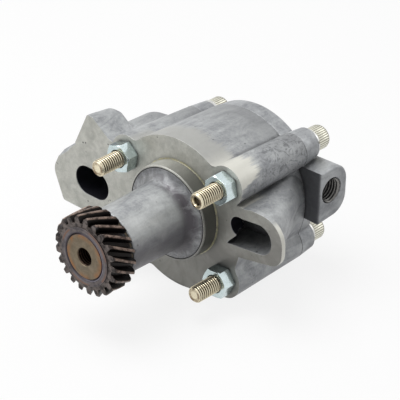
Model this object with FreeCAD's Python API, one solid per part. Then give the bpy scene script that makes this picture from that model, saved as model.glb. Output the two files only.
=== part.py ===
import FreeCAD, Part
import math
import os

# Engine oil pump: a trochoid rotor set in a cast aluminium housing, driven by a helical gear.
# All sizes are in millimetres and all angles in degrees.
# The origin is on the pump axis, in the machined mounting face of the flange.
# -Y runs along the pump axis to the drive gear, +Y to the rear cover, +Z is up,
# and +X is the side of the outlet and of the threaded pressure port.
# An outline seen along the pump axis is written as (x, z).

# Rotor set
eccentricity = 3.8
eccentric_angle = 256.3
inner_lobes = 4
outer_tooth_circle_r = 25.0
outer_tooth_r = 8.5
rotor_mesh_gap = 0.08
rotor_tip_gap = 0.12
outer_rotor_r = 28.0
outer_rotor_gap = 0.07
rotor_width = 28.3
rotor_end_gap = 0.05
rotor_bore_gap = 0.0
profile_steps_per_lobe = 24

# Housing casting
housing_length = 44.7
body_r_front = 37.9
body_r_rear = 36.9
boss_r_front = 9.6
boss_r_rear = 8.5
boss_blend_r_front = 4.0
boss_blend_r_rear = 1.4
body_rear_shift = (0.5, -0.5)
boss_rear_shift = {"upper_left": (0.6, -1.0)}
pilot_r = 23.2
pilot_length = 8.3
pilot_chamfer = 0.4
pilot_undercut_depth = 0.3
pilot_undercut_width = 0.6
pilot_rim_width = 0.5
pilot_groove_depth = 0.7
pilot_groove_width = 0.5
snout_r_root = 16.2
snout_r_tip = 15.6
snout_fillet_r = 5.2
snout_end_y = -45.2
snout_chamfer = 0.8

# Inlet side of the casting
inlet_ear_outline = [
    (-59.5, 24.5, 1.2),
    (-67.7, 6.6, 2.0),
    (-77.4, -1.7, 0.8),
    (-82.6, -12.6, 8.0),
    (-75.9, -27.8, 1.5),
    (-58.0, -27.8, 14.0),
]
tab_foot = (-46.0, 17.5)
tab_corner = (-56.1, 24.5)
ear_bevel_width = 1.7
ear_bevel_depth = 2.4
ear_thickness = 17.2
tab_back_drop = 3.4
ear_back_round_r = 2.5
inlet_left = -67.3
inlet_right = -45.5
inlet_bottom = -18.2
inlet_top = -3.2
inlet_depth = 20.0
duct_rear_gap = 1.7
duct_round_r = 6.0

# Outlet side of the casting
outlet_ear_outline = [
    (34.0, 13.6, 0.0),
    (43.5, 15.9, 8.0),
    (61.2, 15.9, 12.0),
    (61.2, -6.2, 7.5),
    (35.4, -11.3, 0.0),
]
outlet_rim_depth = 2.8
outlet_rim_round_r = 0.8
outlet_depth = 15.0
outlet_ledge_depth = 5.0
gallery_x = 35.9
gallery_z = 4.5
gallery_r = 5.0
gallery_depth = 20.0
shoulder_r = 12.0
shoulder_front_x = 46.3
shoulder_rear_x = 23.4
shoulder_z = 3.0
shoulder_low_x = 21.0
shoulder_low_z = -10.0

# Oil passages
port_inner_r = 14.3
port_outer_r = 23.0
port_half_sweep = 66.0
port_depth = 7.0
cover_port_depth = 3.0
passage_front_wall = 7.5
passage_height = 7.5

# Screws, nuts and lock washers, M8
screw_r = 4.0
screw_length = 76.2
screw_head_r = 5.8
screw_head_height = 8.0
screw_tip_chamfer = 0.9
socket_across_flats = 6.0
socket_depth = 4.0
screw_hole_r = 4.5
nut_across_flats = 13.0
nut_height = 6.5
nut_corner_chamfer = 0.9
lock_washer_r = 6.35
lock_washer_bore_r = 4.1
lock_washer_thickness = 2.0
lock_washer_slit = 1.2
screw_places = {
    "upper_right": (27.7, 22.2, -18.0),
    "upper_left": (-33.2, 14.1, 19.0),
    "lower_left": (-24.3, -30.6, 12.0),
    "lower_right": (27.7, -26.2, 5.0),
}

# Rear cover
gasket_thickness = 0.4
cover_thickness = 9.9
cover_taper = 0.9
cover_round_r = 2.4
seat_height = 9.6
seat_land_r = 7.6
seat_land_height = 6.0
seat_clearance_r = 8.0
cover_bush_depth = 7.6

# Threaded pressure port on the cover, M12 x 1.5
port_face_x = 44.7
port_inner_x = 12.0
port_block_top = 16.4
port_block_bottom = -10.4
port_block_depth = 19.2
port_upper_round_r = 9.6
port_lower_round_r = 9.2
port_block_taper = 1.2
port_edge_round_r = 1.2
port_thread_r = 6.0
port_thread_length = 14.0
port_hole_depth = 8.2
port_hole_z = 4.7
port_mouth_chamfer = 0.7
port_drill_r = 4.0
port_drill_end_x = 17.0

# Relief valve in the back of the cover
relief_depth = 10.1
relief_z = -15.5
relief_boss_r = 7.5
relief_boss_inset = 0.8
relief_boss_right = 15.0
relief_boss_round_r = 3.0
relief_bore_r = 5.0
relief_nose_r = 4.0
relief_seat_x = -8.0
relief_inlet_x = 8.0
relief_return_x = -13.5
relief_hole_r = 2.5
plunger_gap = 0.04
plunger_length = 11.0
plunger_nose_wall = 3.0
plunger_wall = 1.1
plug_thread_r = 6.0
plug_thread_length = 7.0
plug_across_flats = 14.0
plug_head_height = 5.5
plug_washer_r = 8.0
plug_washer_thickness = 1.2
spring_wire_r = 0.55
spring_turns = 6.0
spring_gap = 0.25

# Shaft and bushes
gear_journal_r = 11.0
mid_journal_r = 9.0
rotor_seat_r = 8.0
rear_journal_r = 7.0
bearing_gap = 0.03
shaft_end_chamfer = 0.45
centre_hole_r = 4.1
centre_hole_depth = 16.0
centre_hole_chamfer = 0.5
drill_point_angle = 118.0
front_bush_length = 22.0
front_bush_wall = 1.8
mid_bush_length = 17.0
mid_bush_wall = 1.8
rear_bush_length = 7.0
rear_bush_wall = 1.5
bush_recess = 1.0
shaft_waist_gap = 0.8
thrust_washer_r = 15.0
thrust_washer_thickness = 1.6
thrust_washer_play = 0.2

# Drive pin of the inner rotor
drive_pin_r = 2.5
drive_pin_length = 22.0
drive_pin_gap = 0.05
drive_slot_depth = 5.4

# Helical drive gear
gear_teeth = 21
gear_module = 1.5
gear_helix = 28.0
gear_pressure_angle = 20.0
gear_width = 13.4
gear_addendum = 1.0
gear_dedendum = 1.25
gear_backlash = 0.06
gear_rotation = 4.0
gear_ring_r = 14.2
gear_ring_height = 0.5
gear_end_chamfer = 0.9
gear_bore_chamfer = 0.45
gear_loft_sections = 5

# Locating dowels between housing and cover
dowel_r = 2.5
dowel_length = 11.0
dowel_angles = (95.0, 268.0)

# Places that follow from the sizes above
body_x = eccentricity * math.cos(math.radians(eccentric_angle))
body_z = eccentricity * math.sin(math.radians(eccentric_angle))
cover_front_y = housing_length + gasket_thickness
cover_rear_y = cover_front_y + cover_thickness
duct_length = housing_length - duct_rear_gap
seat_y = cover_front_y + seat_height
port_block_rear = cover_front_y + port_block_depth
port_hole_y = cover_front_y + port_hole_depth
relief_y = cover_front_y + relief_depth
relief_boss_left = body_x - body_r_rear + relief_boss_inset
chamber_r = outer_rotor_r + outer_rotor_gap
chamber_front_y = cover_front_y - rotor_width - 2 * rotor_end_gap
rotor_front_y = chamber_front_y + rotor_end_gap
thrust_washer_y = snout_end_y - thrust_washer_thickness
gear_rear_y = thrust_washer_y - thrust_washer_play
gear_front_y = gear_rear_y - gear_width
dowel_circle_r = (chamber_r + body_r_rear) / 2
far = 200.0


def polar(centre_x, centre_z, radius, angle):
    turn = math.radians(angle)
    return centre_x + radius * math.cos(turn), centre_z + radius * math.sin(turn)


def across_axis(y):
    # Places (x, z) outline points in the plane at y.
    def place(x, z):
        return FreeCAD.Vector(x, y, z)
    return place


def across_x(x):
    # Places (y, z) outline points in the plane at x.
    def place(y, z):
        return FreeCAD.Vector(x, y, z)
    return place


def in_section(radius, y):
    # Places (radius, y) profile points in the half plane that is turned about the pump axis.
    return FreeCAD.Vector(radius, y, 0)


def unit(dx, dz):
    size = math.hypot(dx, dz)
    return dx / size, dz / size


def rounded_wire(corners, place):
    # Closed outline through the corners (u, v, radius), each rounded by a tangent arc.
    edges = []
    starts = []
    ends = []
    middles = []
    count = len(corners)
    for index, (u, v, radius) in enumerate(corners):
        before = corners[index - 1]
        after = corners[(index + 1) % count]
        in_u, in_v = unit(u - before[0], v - before[1])
        out_u, out_v = unit(after[0] - u, after[1] - v)
        turn = math.acos(max(-1.0, min(1.0, in_u * out_u + in_v * out_v)))
        if radius == 0:
            starts.append((u, v))
            ends.append((u, v))
            middles.append(None)
            continue
        reach = radius * math.tan(turn / 2)
        mid_u, mid_v = unit(out_u - in_u, out_v - in_v)
        depth = radius / math.cos(turn / 2) - radius
        starts.append((u - in_u * reach, v - in_v * reach))
        ends.append((u + out_u * reach, v + out_v * reach))
        middles.append((u + mid_u * depth, v + mid_v * depth))
    for index in range(count):
        if middles[index] is not None:
            arc = Part.Arc(place(*starts[index]), place(*middles[index]), place(*ends[index]))
            edges.append(arc.toShape())
        following = (index + 1) % count
        start = place(*ends[index])
        end = place(*starts[following])
        if start.distanceToPoint(end) > 1e-6:
            edges.append(Part.LineSegment(start, end).toShape())
    return Part.Wire(edges)


def prism(corners, y_start, y_end):
    # Solid with a rounded (x, z) outline between two planes across the pump axis.
    face = Part.Face(rounded_wire(corners, across_axis(y_start)))
    return face.extrude(FreeCAD.Vector(0, y_end - y_start, 0))


def turned(profile):
    # Solid of revolution about the pump axis from (radius, y, corner radius) points.
    face = Part.Face(rounded_wire(profile, in_section))
    return face.revolve(FreeCAD.Vector(0, 0, 0), FreeCAD.Vector(0, 1, 0), 360)


def rod(radius, y_start, y_end, x=0.0, z=0.0):
    length = y_end - y_start
    return Part.makeCylinder(radius, length, FreeCAD.Vector(x, y_start, z), FreeCAD.Vector(0, 1, 0))


def cross_rod(radius, x_start, x_end, y, z):
    length = x_end - x_start
    return Part.makeCylinder(radius, length, FreeCAD.Vector(x_start, y, z), FreeCAD.Vector(1, 0, 0))


def ring(outer_r, inner_r, y_start, y_end, x=0.0, z=0.0):
    return rod(outer_r, y_start, y_end, x, z).cut(rod(inner_r, y_start, y_end, x, z))


def block(x_range, y_range, z_range):
    corner = FreeCAD.Vector(x_range[0], y_range[0], z_range[0])
    return Part.makeBox(x_range[1] - x_range[0], y_range[1] - y_range[0], z_range[1] - z_range[0], corner)


def fillet_where(shape, radius, wanted):
    # Rounds the edges for which wanted(edge) is true.
    edges = [edge for edge in shape.Edges if wanted(edge)]
    return shape.makeFillet(radius, edges)


def lies_in_plane_y(y):
    def wanted(edge):
        box = edge.BoundBox
        return abs(box.YMin - y) < 1e-4 and abs(box.YMax - y) < 1e-4
    return wanted


def lies_in_plane_x(x):
    def wanted(edge):
        box = edge.BoundBox
        return abs(box.XMin - x) < 1e-4 and abs(box.XMax - x) < 1e-4
    return wanted


def hollow_blend_centre(centre_a, radius_a, centre_b, radius_b, blend_r, side):
    # Centre of the blend arc that touches both circles from outside, on one side of their centre line.
    dx = centre_b[0] - centre_a[0]
    dz = centre_b[1] - centre_a[1]
    apart = math.hypot(dx, dz)
    reach_a = radius_a + blend_r
    reach_b = radius_b + blend_r
    along = (apart * apart + reach_a * reach_a - reach_b * reach_b) / (2 * apart)
    across = side * math.sqrt(reach_a * reach_a - along * along)
    x = centre_a[0] + (dx * along - dz * across) / apart
    z = centre_a[1] + (dz * along + dx * across) / apart
    return x, z


def towards(start, end, distance):
    dx, dz = unit(end[0] - start[0], end[1] - start[1])
    return start[0] + dx * distance, start[1] + dz * distance


def boss_centre(name, shifts):
    x, z, turn = screw_places[name]
    shift = shifts.get(name, (0.0, 0.0))
    return x + shift[0], z + shift[1]


def casting_wire(y, body, body_r, bosses, boss_r, blend_r):
    # Round body with one boss for each screw, joined by hollow blends, anticlockwise from +X to +Z.
    place = across_axis(y)
    bosses = sorted(bosses, key=lambda boss: math.atan2(boss[1] - body[1], boss[0] - body[0]))
    blends = []
    for boss in bosses:
        for side in (-1, 1):
            blend = hollow_blend_centre(body, body_r, boss, boss_r, blend_r, side)
            on_body = towards(body, blend, body_r)
            on_boss = towards(boss, blend, boss_r)
            between = ((on_body[0] + on_boss[0]) / 2, (on_body[1] + on_boss[1]) / 2)
            blends.append((on_body, towards(blend, between, blend_r), on_boss))
    edges = []
    for index, boss in enumerate(bosses):
        entry = blends[2 * index]
        leave = blends[2 * index + 1]
        following = blends[(2 * index + 2) % len(blends)]
        outermost = towards(boss, (2 * boss[0] - body[0], 2 * boss[1] - body[1]), boss_r)
        start_angle = math.degrees(math.atan2(leave[0][1] - body[1], leave[0][0] - body[0]))
        end_angle = math.degrees(math.atan2(following[0][1] - body[1], following[0][0] - body[0]))
        half_way = start_angle + ((end_angle - start_angle) % 360) / 2
        body_middle = polar(*body, body_r, half_way)
        arcs = [entry, (entry[2], outermost, leave[2]), (leave[2], leave[1], leave[0]),
                (leave[0], body_middle, following[0])]
        for first, middle, last in arcs:
            edges.append(Part.Arc(place(*first), place(*middle), place(*last)).toShape())
    return Part.Wire(edges)


def front_casting_wire():
    bosses = [boss_centre(name, {}) for name in screw_places]
    return casting_wire(0, (body_x, body_z), body_r_front, bosses, boss_r_front, boss_blend_r_front)


def rear_casting_wire(y, taper=0.0):
    # The draft of the casting moves the body and the upper left boss a little towards the rear.
    body = (body_x + body_rear_shift[0], body_z + body_rear_shift[1])
    bosses = [boss_centre(name, boss_rear_shift) for name in screw_places]
    return casting_wire(y, body, body_r_rear - taper, bosses, boss_r_rear - taper, boss_blend_r_rear)


def slot_wire(y, centre_a, radius_a, centre_b, radius_b):
    # Outline round two circles, joined by their outer tangents.
    place = across_axis(y)
    dx = centre_b[0] - centre_a[0]
    dz = centre_b[1] - centre_a[1]
    heading = math.degrees(math.atan2(dz, dx))
    lean = math.degrees(math.acos((radius_a - radius_b) / math.hypot(dx, dz)))
    a_upper = polar(*centre_a, radius_a, heading + lean)
    a_far = polar(*centre_a, radius_a, heading + 180)
    a_lower = polar(*centre_a, radius_a, heading - lean)
    b_upper = polar(*centre_b, radius_b, heading + lean)
    b_far = polar(*centre_b, radius_b, heading)
    b_lower = polar(*centre_b, radius_b, heading - lean)
    edges = [
        Part.Arc(place(*a_upper), place(*a_far), place(*a_lower)).toShape(),
        Part.LineSegment(place(*a_lower), place(*b_lower)).toShape(),
        Part.Arc(place(*b_lower), place(*b_far), place(*b_upper)).toShape(),
        Part.LineSegment(place(*b_upper), place(*a_upper)).toShape(),
    ]
    return Part.Wire(edges)


def port_recess(middle_angle, y_start, y_end):
    # Kidney shaped recess in the wall beside the rotors, centred on one side of the chamber.
    outer = rod(port_outer_r, y_start, y_end, body_x, body_z)
    inner = rod(port_inner_r, y_start, y_end)
    reach = far
    first = polar(body_x, body_z, reach, middle_angle - port_half_sweep)
    middle = polar(body_x, body_z, reach, middle_angle)
    last = polar(body_x, body_z, reach, middle_angle + port_half_sweep)
    wedge = prism([(body_x, body_z, 0), (*first, 0), (*middle, 0), (*last, 0)], y_start, y_end)
    return outer.cut(inner).common(wedge)


suction_angle = eccentric_angle - 90
discharge_angle = eccentric_angle + 90


def inlet_ear():
    # Flat flange ear with the inlet and the upright tab beside the upper left screw.
    corners = inlet_ear_outline + [
        (screw_places["lower_left"][0] - 6, screw_places["lower_left"][1] - 5, 0),
        (body_x - 10, body_z, 0),
        (screw_places["upper_left"][0] + 2, screw_places["upper_left"][1] - 1, 0),
        (*tab_foot, 0),
        (*tab_corner, 1.0),
    ]
    ear = prism(corners, 0, ear_thickness)
    ear = fillet_where(ear, ear_back_round_r, lies_in_plane_y(ear_thickness))
    tab_top = max(corner[1] for corner in corners)
    slope = [(-1, tab_top + tab_back_drop / ear_thickness), (ear_thickness + 1, tab_top - tab_back_drop),
             (ear_thickness + 1, tab_top + 10), (-1, tab_top + 10)]
    wire = Part.makePolygon([FreeCAD.Vector(-100, y, z) for y, z in slope + slope[:1]])
    ear = ear.cut(Part.Face(wire).extrude(FreeCAD.Vector(100, 0, 0)))
    return ear.cut(ear_bevel())


def ear_bevel():
    # Broken front edge on the sloping top of the ear, beside the tab.
    start = inlet_ear_outline[2][:2]
    end = inlet_ear_outline[1][:2]
    along_x, along_z = unit(end[0] - start[0], end[1] - start[1])
    section = []
    for share, y in ((-1.5, -ear_bevel_depth / 2), (0.5, 1.5 * ear_bevel_depth), (0.5, -ear_bevel_depth / 2)):
        outward = share * ear_bevel_width
        section.append(FreeCAD.Vector(start[0] - along_z * outward, y, start[1] + along_x * outward))
    reach = math.hypot(end[0] - start[0], end[1] - start[1])
    face = Part.Face(Part.makePolygon(section + section[:1]))
    wedge = face.extrude(FreeCAD.Vector(along_x * (reach + 3), 0, along_z * (reach + 3)))
    wedge.translate(FreeCAD.Vector(-along_x * 3, 0, -along_z * 3))
    return wedge


def inlet_duct():
    # Cast passage behind the ear, narrowing towards the rear and rounded where it ends.
    front = slot_wire(0, (-58.0, -8.0), 16.6, (-20.0, -5.0), 22.0)
    rear = slot_wire(duct_length, (-46.0, -1.0), 17.0, (-18.0, -3.0), 22.0)
    duct = Part.makeLoft([front, rear], True, True)
    return fillet_where(duct, duct_round_r, lies_in_plane_y(duct_length))


def outlet_ear():
    # Land round the outlet, with the cast shoulder behind it that runs back into the body.
    first = outlet_ear_outline[0]
    corners = [(body_x, first[1], 0)] + outlet_ear_outline + [(body_x, outlet_ear_outline[-1][1] - 3, 0)]
    rim = prism(corners, 0, outlet_rim_depth)
    rim = fillet_where(rim, outlet_rim_round_r, lies_in_plane_y(outlet_rim_depth))
    inner = (body_x, shoulder_z)
    front = slot_wire(0, (shoulder_front_x, shoulder_z), shoulder_r, inner, shoulder_r - 1)
    solids = [rim]
    for rear_place in ((shoulder_rear_x, shoulder_z), (shoulder_low_x, shoulder_low_z)):
        rear = slot_wire(housing_length, rear_place, shoulder_r, (body_x, rear_place[1]), shoulder_r - 1)
        solids.append(Part.makeLoft([front, rear], True, True))
    return solids[0].multiFuse(solids[1:])


def snout():
    # Pilot register and the long round snout that carries the front bush.
    rim_r = pilot_r - pilot_chamfer - pilot_rim_width
    groove_r = rim_r - pilot_groove_width
    return turned([
        (0, snout_end_y, 0),
        (snout_r_tip, snout_end_y, snout_chamfer),
        (snout_r_root, -pilot_length, snout_fillet_r),
        (groove_r, -pilot_length, 0),
        (groove_r, -pilot_length + pilot_groove_depth, 0),
        (rim_r, -pilot_length + pilot_groove_depth, 0),
        (rim_r, -pilot_length, 0),
        (pilot_r - pilot_chamfer, -pilot_length, 0),
        (pilot_r, -pilot_length + pilot_chamfer, 0),
        (pilot_r, -pilot_undercut_width, 0),
        (pilot_r - pilot_undercut_depth, -pilot_undercut_width, 0),
        (pilot_r - pilot_undercut_depth, 5, 0),
        (0, 5, 0),
    ])


def leaning_prism(corners, depth):
    # Recess in the flange face whose walls lean back with the outlet shoulder.
    lean = (shoulder_front_x - shoulder_rear_x) / housing_length
    wires = []
    for y in (-1, depth):
        moved = [(x - lean * max(y, 0), z, radius) for x, z, radius in corners]
        wires.append(rounded_wire(moved, across_axis(y)))
    return Part.makeLoft(wires, True, True)


def outlet_pocket():
    # Teardrop mouth with a shallow ledge on its left, a deep round lobe and a gallery beside it.
    left = (29.3, -6.6, 0.3)
    lower_right = (55.6, -3.4, 7.2)
    upper_right = (55.3, 11.4, 7.2)
    ledge = leaning_prism([left, lower_right, upper_right, (34.9, 9.0, 0.3), (34.9, -0.6, 0.3)],
                          outlet_ledge_depth)
    lobe = leaning_prism([left, lower_right, upper_right, (45.0, 10.2, 2.0)], outlet_depth)
    gallery = rod(gallery_r, -1, gallery_depth, gallery_x, gallery_z)
    return ledge.multiFuse([lobe, gallery])


def inlet_pocket():
    half = (inlet_top - inlet_bottom) / 2
    middle = (inlet_top + inlet_bottom) / 2
    wire = slot_wire(-1, (inlet_left + half, middle), half, (inlet_right - half, middle), half)
    return Part.Face(wire).extrude(FreeCAD.Vector(0, inlet_depth + 1, 0))


def screw_holes(y_start, y_end):
    holes = [rod(screw_hole_r, y_start, y_end, x, z) for x, z, turn in screw_places.values()]
    return holes[0].multiFuse(holes[1:])


def dowel_places():
    return [polar(body_x, body_z, dowel_circle_r, angle) for angle in dowel_angles]


def dowel_holes():
    half = dowel_length / 2
    middle = housing_length + gasket_thickness / 2
    holes = [rod(dowel_r, middle - half, middle + half, x, z) for x, z in dowel_places()]
    return holes[0].multiFuse(holes[1:])


def pump_housing():
    body = Part.makeLoft([front_casting_wire(), rear_casting_wire(housing_length)], True, True)
    casting = body.multiFuse([inlet_ear(), inlet_duct(), outlet_ear(), snout()])
    chamber = rod(chamber_r, chamber_front_y, housing_length + 1, body_x, body_z)
    port_front_y = chamber_front_y - port_depth
    passage_y = (passage_front_wall, passage_front_wall + passage_height)
    inlet_middle = (inlet_top + inlet_bottom) / 2
    suction = block((inlet_left + 8, body_x - port_inner_r - 3), passage_y, (inlet_middle - 6, inlet_middle + 6))
    discharge = block((body_x + port_inner_r + 3, shoulder_front_x - 2), passage_y,
                      (gallery_z - gallery_r, gallery_z + gallery_r))
    waist_r = mid_journal_r + bearing_gap + mid_bush_wall
    front_bore = rod(gear_journal_r + bearing_gap + front_bush_wall, snout_end_y - 1,
                     snout_end_y + bush_recess + front_bush_length)
    cuts = [
        chamber,
        port_recess(suction_angle, port_front_y, chamber_front_y + 1),
        port_recess(discharge_angle, port_front_y, chamber_front_y + 1),
        suction,
        discharge,
        rod(waist_r, snout_end_y, chamber_front_y + 1),
        front_bore,
        inlet_pocket(),
        outlet_pocket(),
        screw_holes(-1, housing_length + 1),
        dowel_holes(),
    ]
    return casting.cut(cuts[0].multiFuse(cuts[1:]))


def cover_gasket():
    face = Part.Face(rear_casting_wire(housing_length))
    sheet = face.extrude(FreeCAD.Vector(0, gasket_thickness, 0))
    cuts = [
        rod(chamber_r, housing_length - 1, cover_front_y + 1, body_x, body_z),
        screw_holes(housing_length - 1, cover_front_y + 1),
        dowel_holes(),
    ]
    return sheet.cut(cuts[0].multiFuse(cuts[1:]))


def port_block_wire(x, inset):
    top = port_block_top - inset
    corners = [
        (cover_front_y, port_block_bottom + inset, 0),
        (port_block_rear, port_block_bottom + 1.4 + inset, port_lower_round_r),
        (port_block_rear, top, port_upper_round_r),
        (cover_front_y, top, 0),
    ]
    return rounded_wire(corners, across_x(x))


def port_block():
    # Square shouldered block with a rounded rear end, a little smaller where it meets the cover.
    wires = [port_block_wire(port_inner_x, port_block_taper), port_block_wire(port_face_x, 0)]
    solid = Part.makeLoft(wires, True, True)
    return fillet_where(solid, port_edge_round_r, lies_in_plane_x(port_face_x))


def relief_boss():
    boss = cross_rod(relief_boss_r, relief_boss_left, relief_boss_right, relief_y, relief_z)
    return fillet_where(boss, relief_boss_round_r, lies_in_plane_x(relief_boss_right))


def port_drilling():
    # Threaded mouth, then a smaller drilling in to the discharge recess.
    thread_end_x = port_face_x - port_thread_length
    mouth = Part.makeCone(port_thread_r + port_mouth_chamfer, port_thread_r, port_mouth_chamfer,
                          FreeCAD.Vector(port_face_x, port_hole_y, port_hole_z), FreeCAD.Vector(-1, 0, 0))
    thread = cross_rod(port_thread_r, thread_end_x, port_face_x + 1, port_hole_y, port_hole_z)
    drilling = cross_rod(port_drill_r, port_drill_end_x, port_face_x, port_hole_y, port_hole_z)
    feed = rod(port_drill_r, cover_front_y, port_hole_y, port_drill_end_x + port_drill_r, port_hole_z)
    return thread.multiFuse([mouth, drilling, feed])


def relief_drilling():
    thread_end_x = relief_boss_left + plug_thread_length
    bore = cross_rod(relief_bore_r, relief_boss_left, relief_seat_x, relief_y, relief_z)
    thread = cross_rod(plug_thread_r, relief_boss_left - 1, thread_end_x, relief_y, relief_z)
    nose_end_x = relief_inlet_x + relief_hole_r
    nose = cross_rod(relief_nose_r, relief_seat_x - 1, nose_end_x, relief_y, relief_z)
    inlet = rod(relief_hole_r, cover_front_y, relief_y, relief_inlet_x, relief_z)
    outlet = rod(relief_hole_r, cover_front_y, relief_y, relief_return_x, relief_z)
    return bore.multiFuse([thread, nose, inlet, outlet])


def rear_cover():
    wires = [rear_casting_wire(cover_front_y), rear_casting_wire(cover_rear_y, cover_taper)]
    plate = Part.makeLoft(wires, True, True)
    plate = fillet_where(plate, cover_round_r, lies_in_plane_y(cover_rear_y))
    lands = [rod(seat_land_r, seat_y - seat_land_height, seat_y, *boss_centre(name, boss_rear_shift))
             for name in screw_places]
    plate = plate.multiFuse([port_block(), relief_boss()] + lands)
    bush_r = rear_journal_r + bearing_gap + rear_bush_wall
    seats = [rod(seat_clearance_r, seat_y, seat_y + screw_head_height, *boss_centre(name, boss_rear_shift))
             for name in screw_places]
    cuts = [
        port_recess(suction_angle, cover_front_y - 1, cover_front_y + cover_port_depth),
        port_recess(discharge_angle, cover_front_y - 1, cover_front_y + cover_port_depth),
        rod(bush_r, cover_front_y - 1, cover_front_y + cover_bush_depth),
        screw_holes(cover_front_y - 1, cover_rear_y + 1),
        dowel_holes(),
        port_drilling(),
        relief_drilling(),
    ] + seats
    return plate.cut(cuts[0].multiFuse(cuts[1:]))


def drive_shaft():
    # Stepped shaft: gear seat and front journal, middle journal, rotor seat, rear journal.
    front_step_y = snout_end_y + bush_recess + front_bush_length - shaft_waist_gap
    rear_end_y = cover_front_y + rear_bush_length
    body = turned([
        (0, gear_front_y, 0),
        (gear_journal_r - shaft_end_chamfer, gear_front_y, 0),
        (gear_journal_r, gear_front_y + shaft_end_chamfer, 0),
        (gear_journal_r, front_step_y, 0),
        (mid_journal_r, front_step_y, 0),
        (mid_journal_r, chamber_front_y, 0),
        (rotor_seat_r, chamber_front_y, 0),
        (rotor_seat_r, cover_front_y - rotor_end_gap, 0),
        (rear_journal_r, cover_front_y - rotor_end_gap, 0),
        (rear_journal_r, rear_end_y - shaft_end_chamfer, 0),
        (rear_journal_r - shaft_end_chamfer, rear_end_y, 0),
        (0, rear_end_y, 0),
    ])
    hole_end_y = gear_front_y + centre_hole_depth
    point_length = centre_hole_r / math.tan(math.radians(drill_point_angle / 2))
    hole = turned([
        (0, gear_front_y - 1, 0),
        (centre_hole_r + centre_hole_chamfer, gear_front_y - 1, 0),
        (centre_hole_r + centre_hole_chamfer, gear_front_y, 0),
        (centre_hole_r, gear_front_y + centre_hole_chamfer, 0),
        (centre_hole_r, hole_end_y, 0),
        (0, hole_end_y + point_length, 0),
    ])
    return body.cut(hole).cut(rotor_drive_pin())


def drive_pin_y():
    return rotor_front_y + drive_slot_depth - drive_pin_r - drive_pin_gap


def rotor_drive_pin():
    half = drive_pin_length / 2
    return cross_rod(drive_pin_r, -half, half, drive_pin_y(), 0)


def bush(journal_r, wall, y_start, length):
    inner = journal_r + bearing_gap
    return ring(inner + wall, inner, y_start, y_start + length)


def front_bush():
    return bush(gear_journal_r, front_bush_wall, snout_end_y + bush_recess, front_bush_length)


def mid_bush():
    return bush(mid_journal_r, mid_bush_wall, chamber_front_y - bush_recess - mid_bush_length, mid_bush_length)


def rear_bush():
    return bush(rear_journal_r, rear_bush_wall, cover_front_y, rear_bush_length)


def thrust_washer():
    inner = gear_journal_r + 0.1
    return ring(thrust_washer_r, inner, thrust_washer_y, snout_end_y)


def inner_profile_point(turn):
    # Point of the inner rotor: the path of an outer tooth's centre, moved in by the tooth radius.
    lobes = inner_lobes + 1
    x = outer_tooth_circle_r * math.cos(turn) + eccentricity * math.cos(lobes * turn)
    z = outer_tooth_circle_r * math.sin(turn) + eccentricity * math.sin(lobes * turn)
    along_x = -outer_tooth_circle_r * math.sin(turn) - eccentricity * lobes * math.sin(lobes * turn)
    along_z = outer_tooth_circle_r * math.cos(turn) + eccentricity * lobes * math.cos(lobes * turn)
    tangent_x, tangent_z = unit(along_x, along_z)
    inset = outer_tooth_r + rotor_mesh_gap
    return x - tangent_z * inset, z + tangent_x * inset


def inner_rotor():
    steps = inner_lobes * profile_steps_per_lobe
    place = across_axis(rotor_front_y)
    points = [place(*inner_profile_point(2 * math.pi * step / steps)) for step in range(steps)]
    curve = Part.BSplineCurve()
    curve.interpolate(points, PeriodicFlag=True)
    face = Part.Face(Part.Wire([curve.toShape()]))
    rotor = face.extrude(FreeCAD.Vector(0, rotor_width, 0))
    seat = rod(rotor_seat_r + rotor_bore_gap, rotor_front_y - 1, housing_length + 1)
    half = drive_pin_length / 2 + drive_pin_gap
    slot_half = drive_pin_r + drive_pin_gap
    slot = block((-half, half), (rotor_front_y - 1, rotor_front_y + drive_slot_depth), (-slot_half, slot_half))
    return rotor.cut(seat.fuse(slot))


def outer_rotor():
    # Ring with round internal teeth, one more than the inner rotor has lobes.
    teeth = inner_lobes + 1
    root_r = outer_tooth_circle_r - outer_tooth_r + 2 * eccentricity + rotor_tip_gap
    rear_y = rotor_front_y + rotor_width
    cavity = rod(root_r, rotor_front_y - 1, rear_y + 1, body_x, body_z)
    for index in range(teeth):
        angle = eccentric_angle / teeth + 360.0 * index / teeth
        x, z = polar(body_x, body_z, outer_tooth_circle_r, angle)
        cavity = cavity.cut(rod(outer_tooth_r, rotor_front_y - 2, rear_y + 2, x, z))
    return rod(outer_rotor_r, rotor_front_y, rear_y, body_x, body_z).cut(cavity)


def involute(angle_cosine):
    angle = math.acos(angle_cosine)
    return math.tan(angle) - angle


def gear_wire(y, turn, tip_r, root_r, base_r, pitch_r, half_tooth):
    # One section of the toothed rim: involute flanks, round tips and round roots.
    place = across_axis(y)
    pitch_involute = involute(base_r / pitch_r)
    radii = [root_r, base_r, (base_r + pitch_r) / 2, pitch_r, (pitch_r + tip_r) / 2, tip_r]
    flank = []
    for radius in radii:
        grown = pitch_involute - involute(min(1.0, base_r / radius))
        flank.append((radius, math.degrees(half_tooth + grown)))
    edges = []
    for tooth in range(gear_teeth):
        middle = turn + 360.0 * tooth / gear_teeth
        rising = [place(*polar(0, 0, radius, middle - spread)) for radius, spread in flank]
        falling = [place(*polar(0, 0, radius, middle + spread)) for radius, spread in reversed(flank)]
        for points in (rising, falling):
            curve = Part.BSplineCurve()
            curve.interpolate(points)
            edges.append(curve.toShape())
        tip = Part.Arc(rising[-1], place(*polar(0, 0, tip_r, middle)), falling[0])
        edges.insert(len(edges) - 1, tip.toShape())
        gap_middle = middle + 180.0 / gear_teeth
        next_start = place(*polar(0, 0, root_r, middle + 360.0 / gear_teeth - flank[0][1]))
        root = Part.Arc(falling[-1], place(*polar(0, 0, root_r, gap_middle)), next_start)
        edges.append(root.toShape())
    return Part.Wire(edges)


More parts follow.
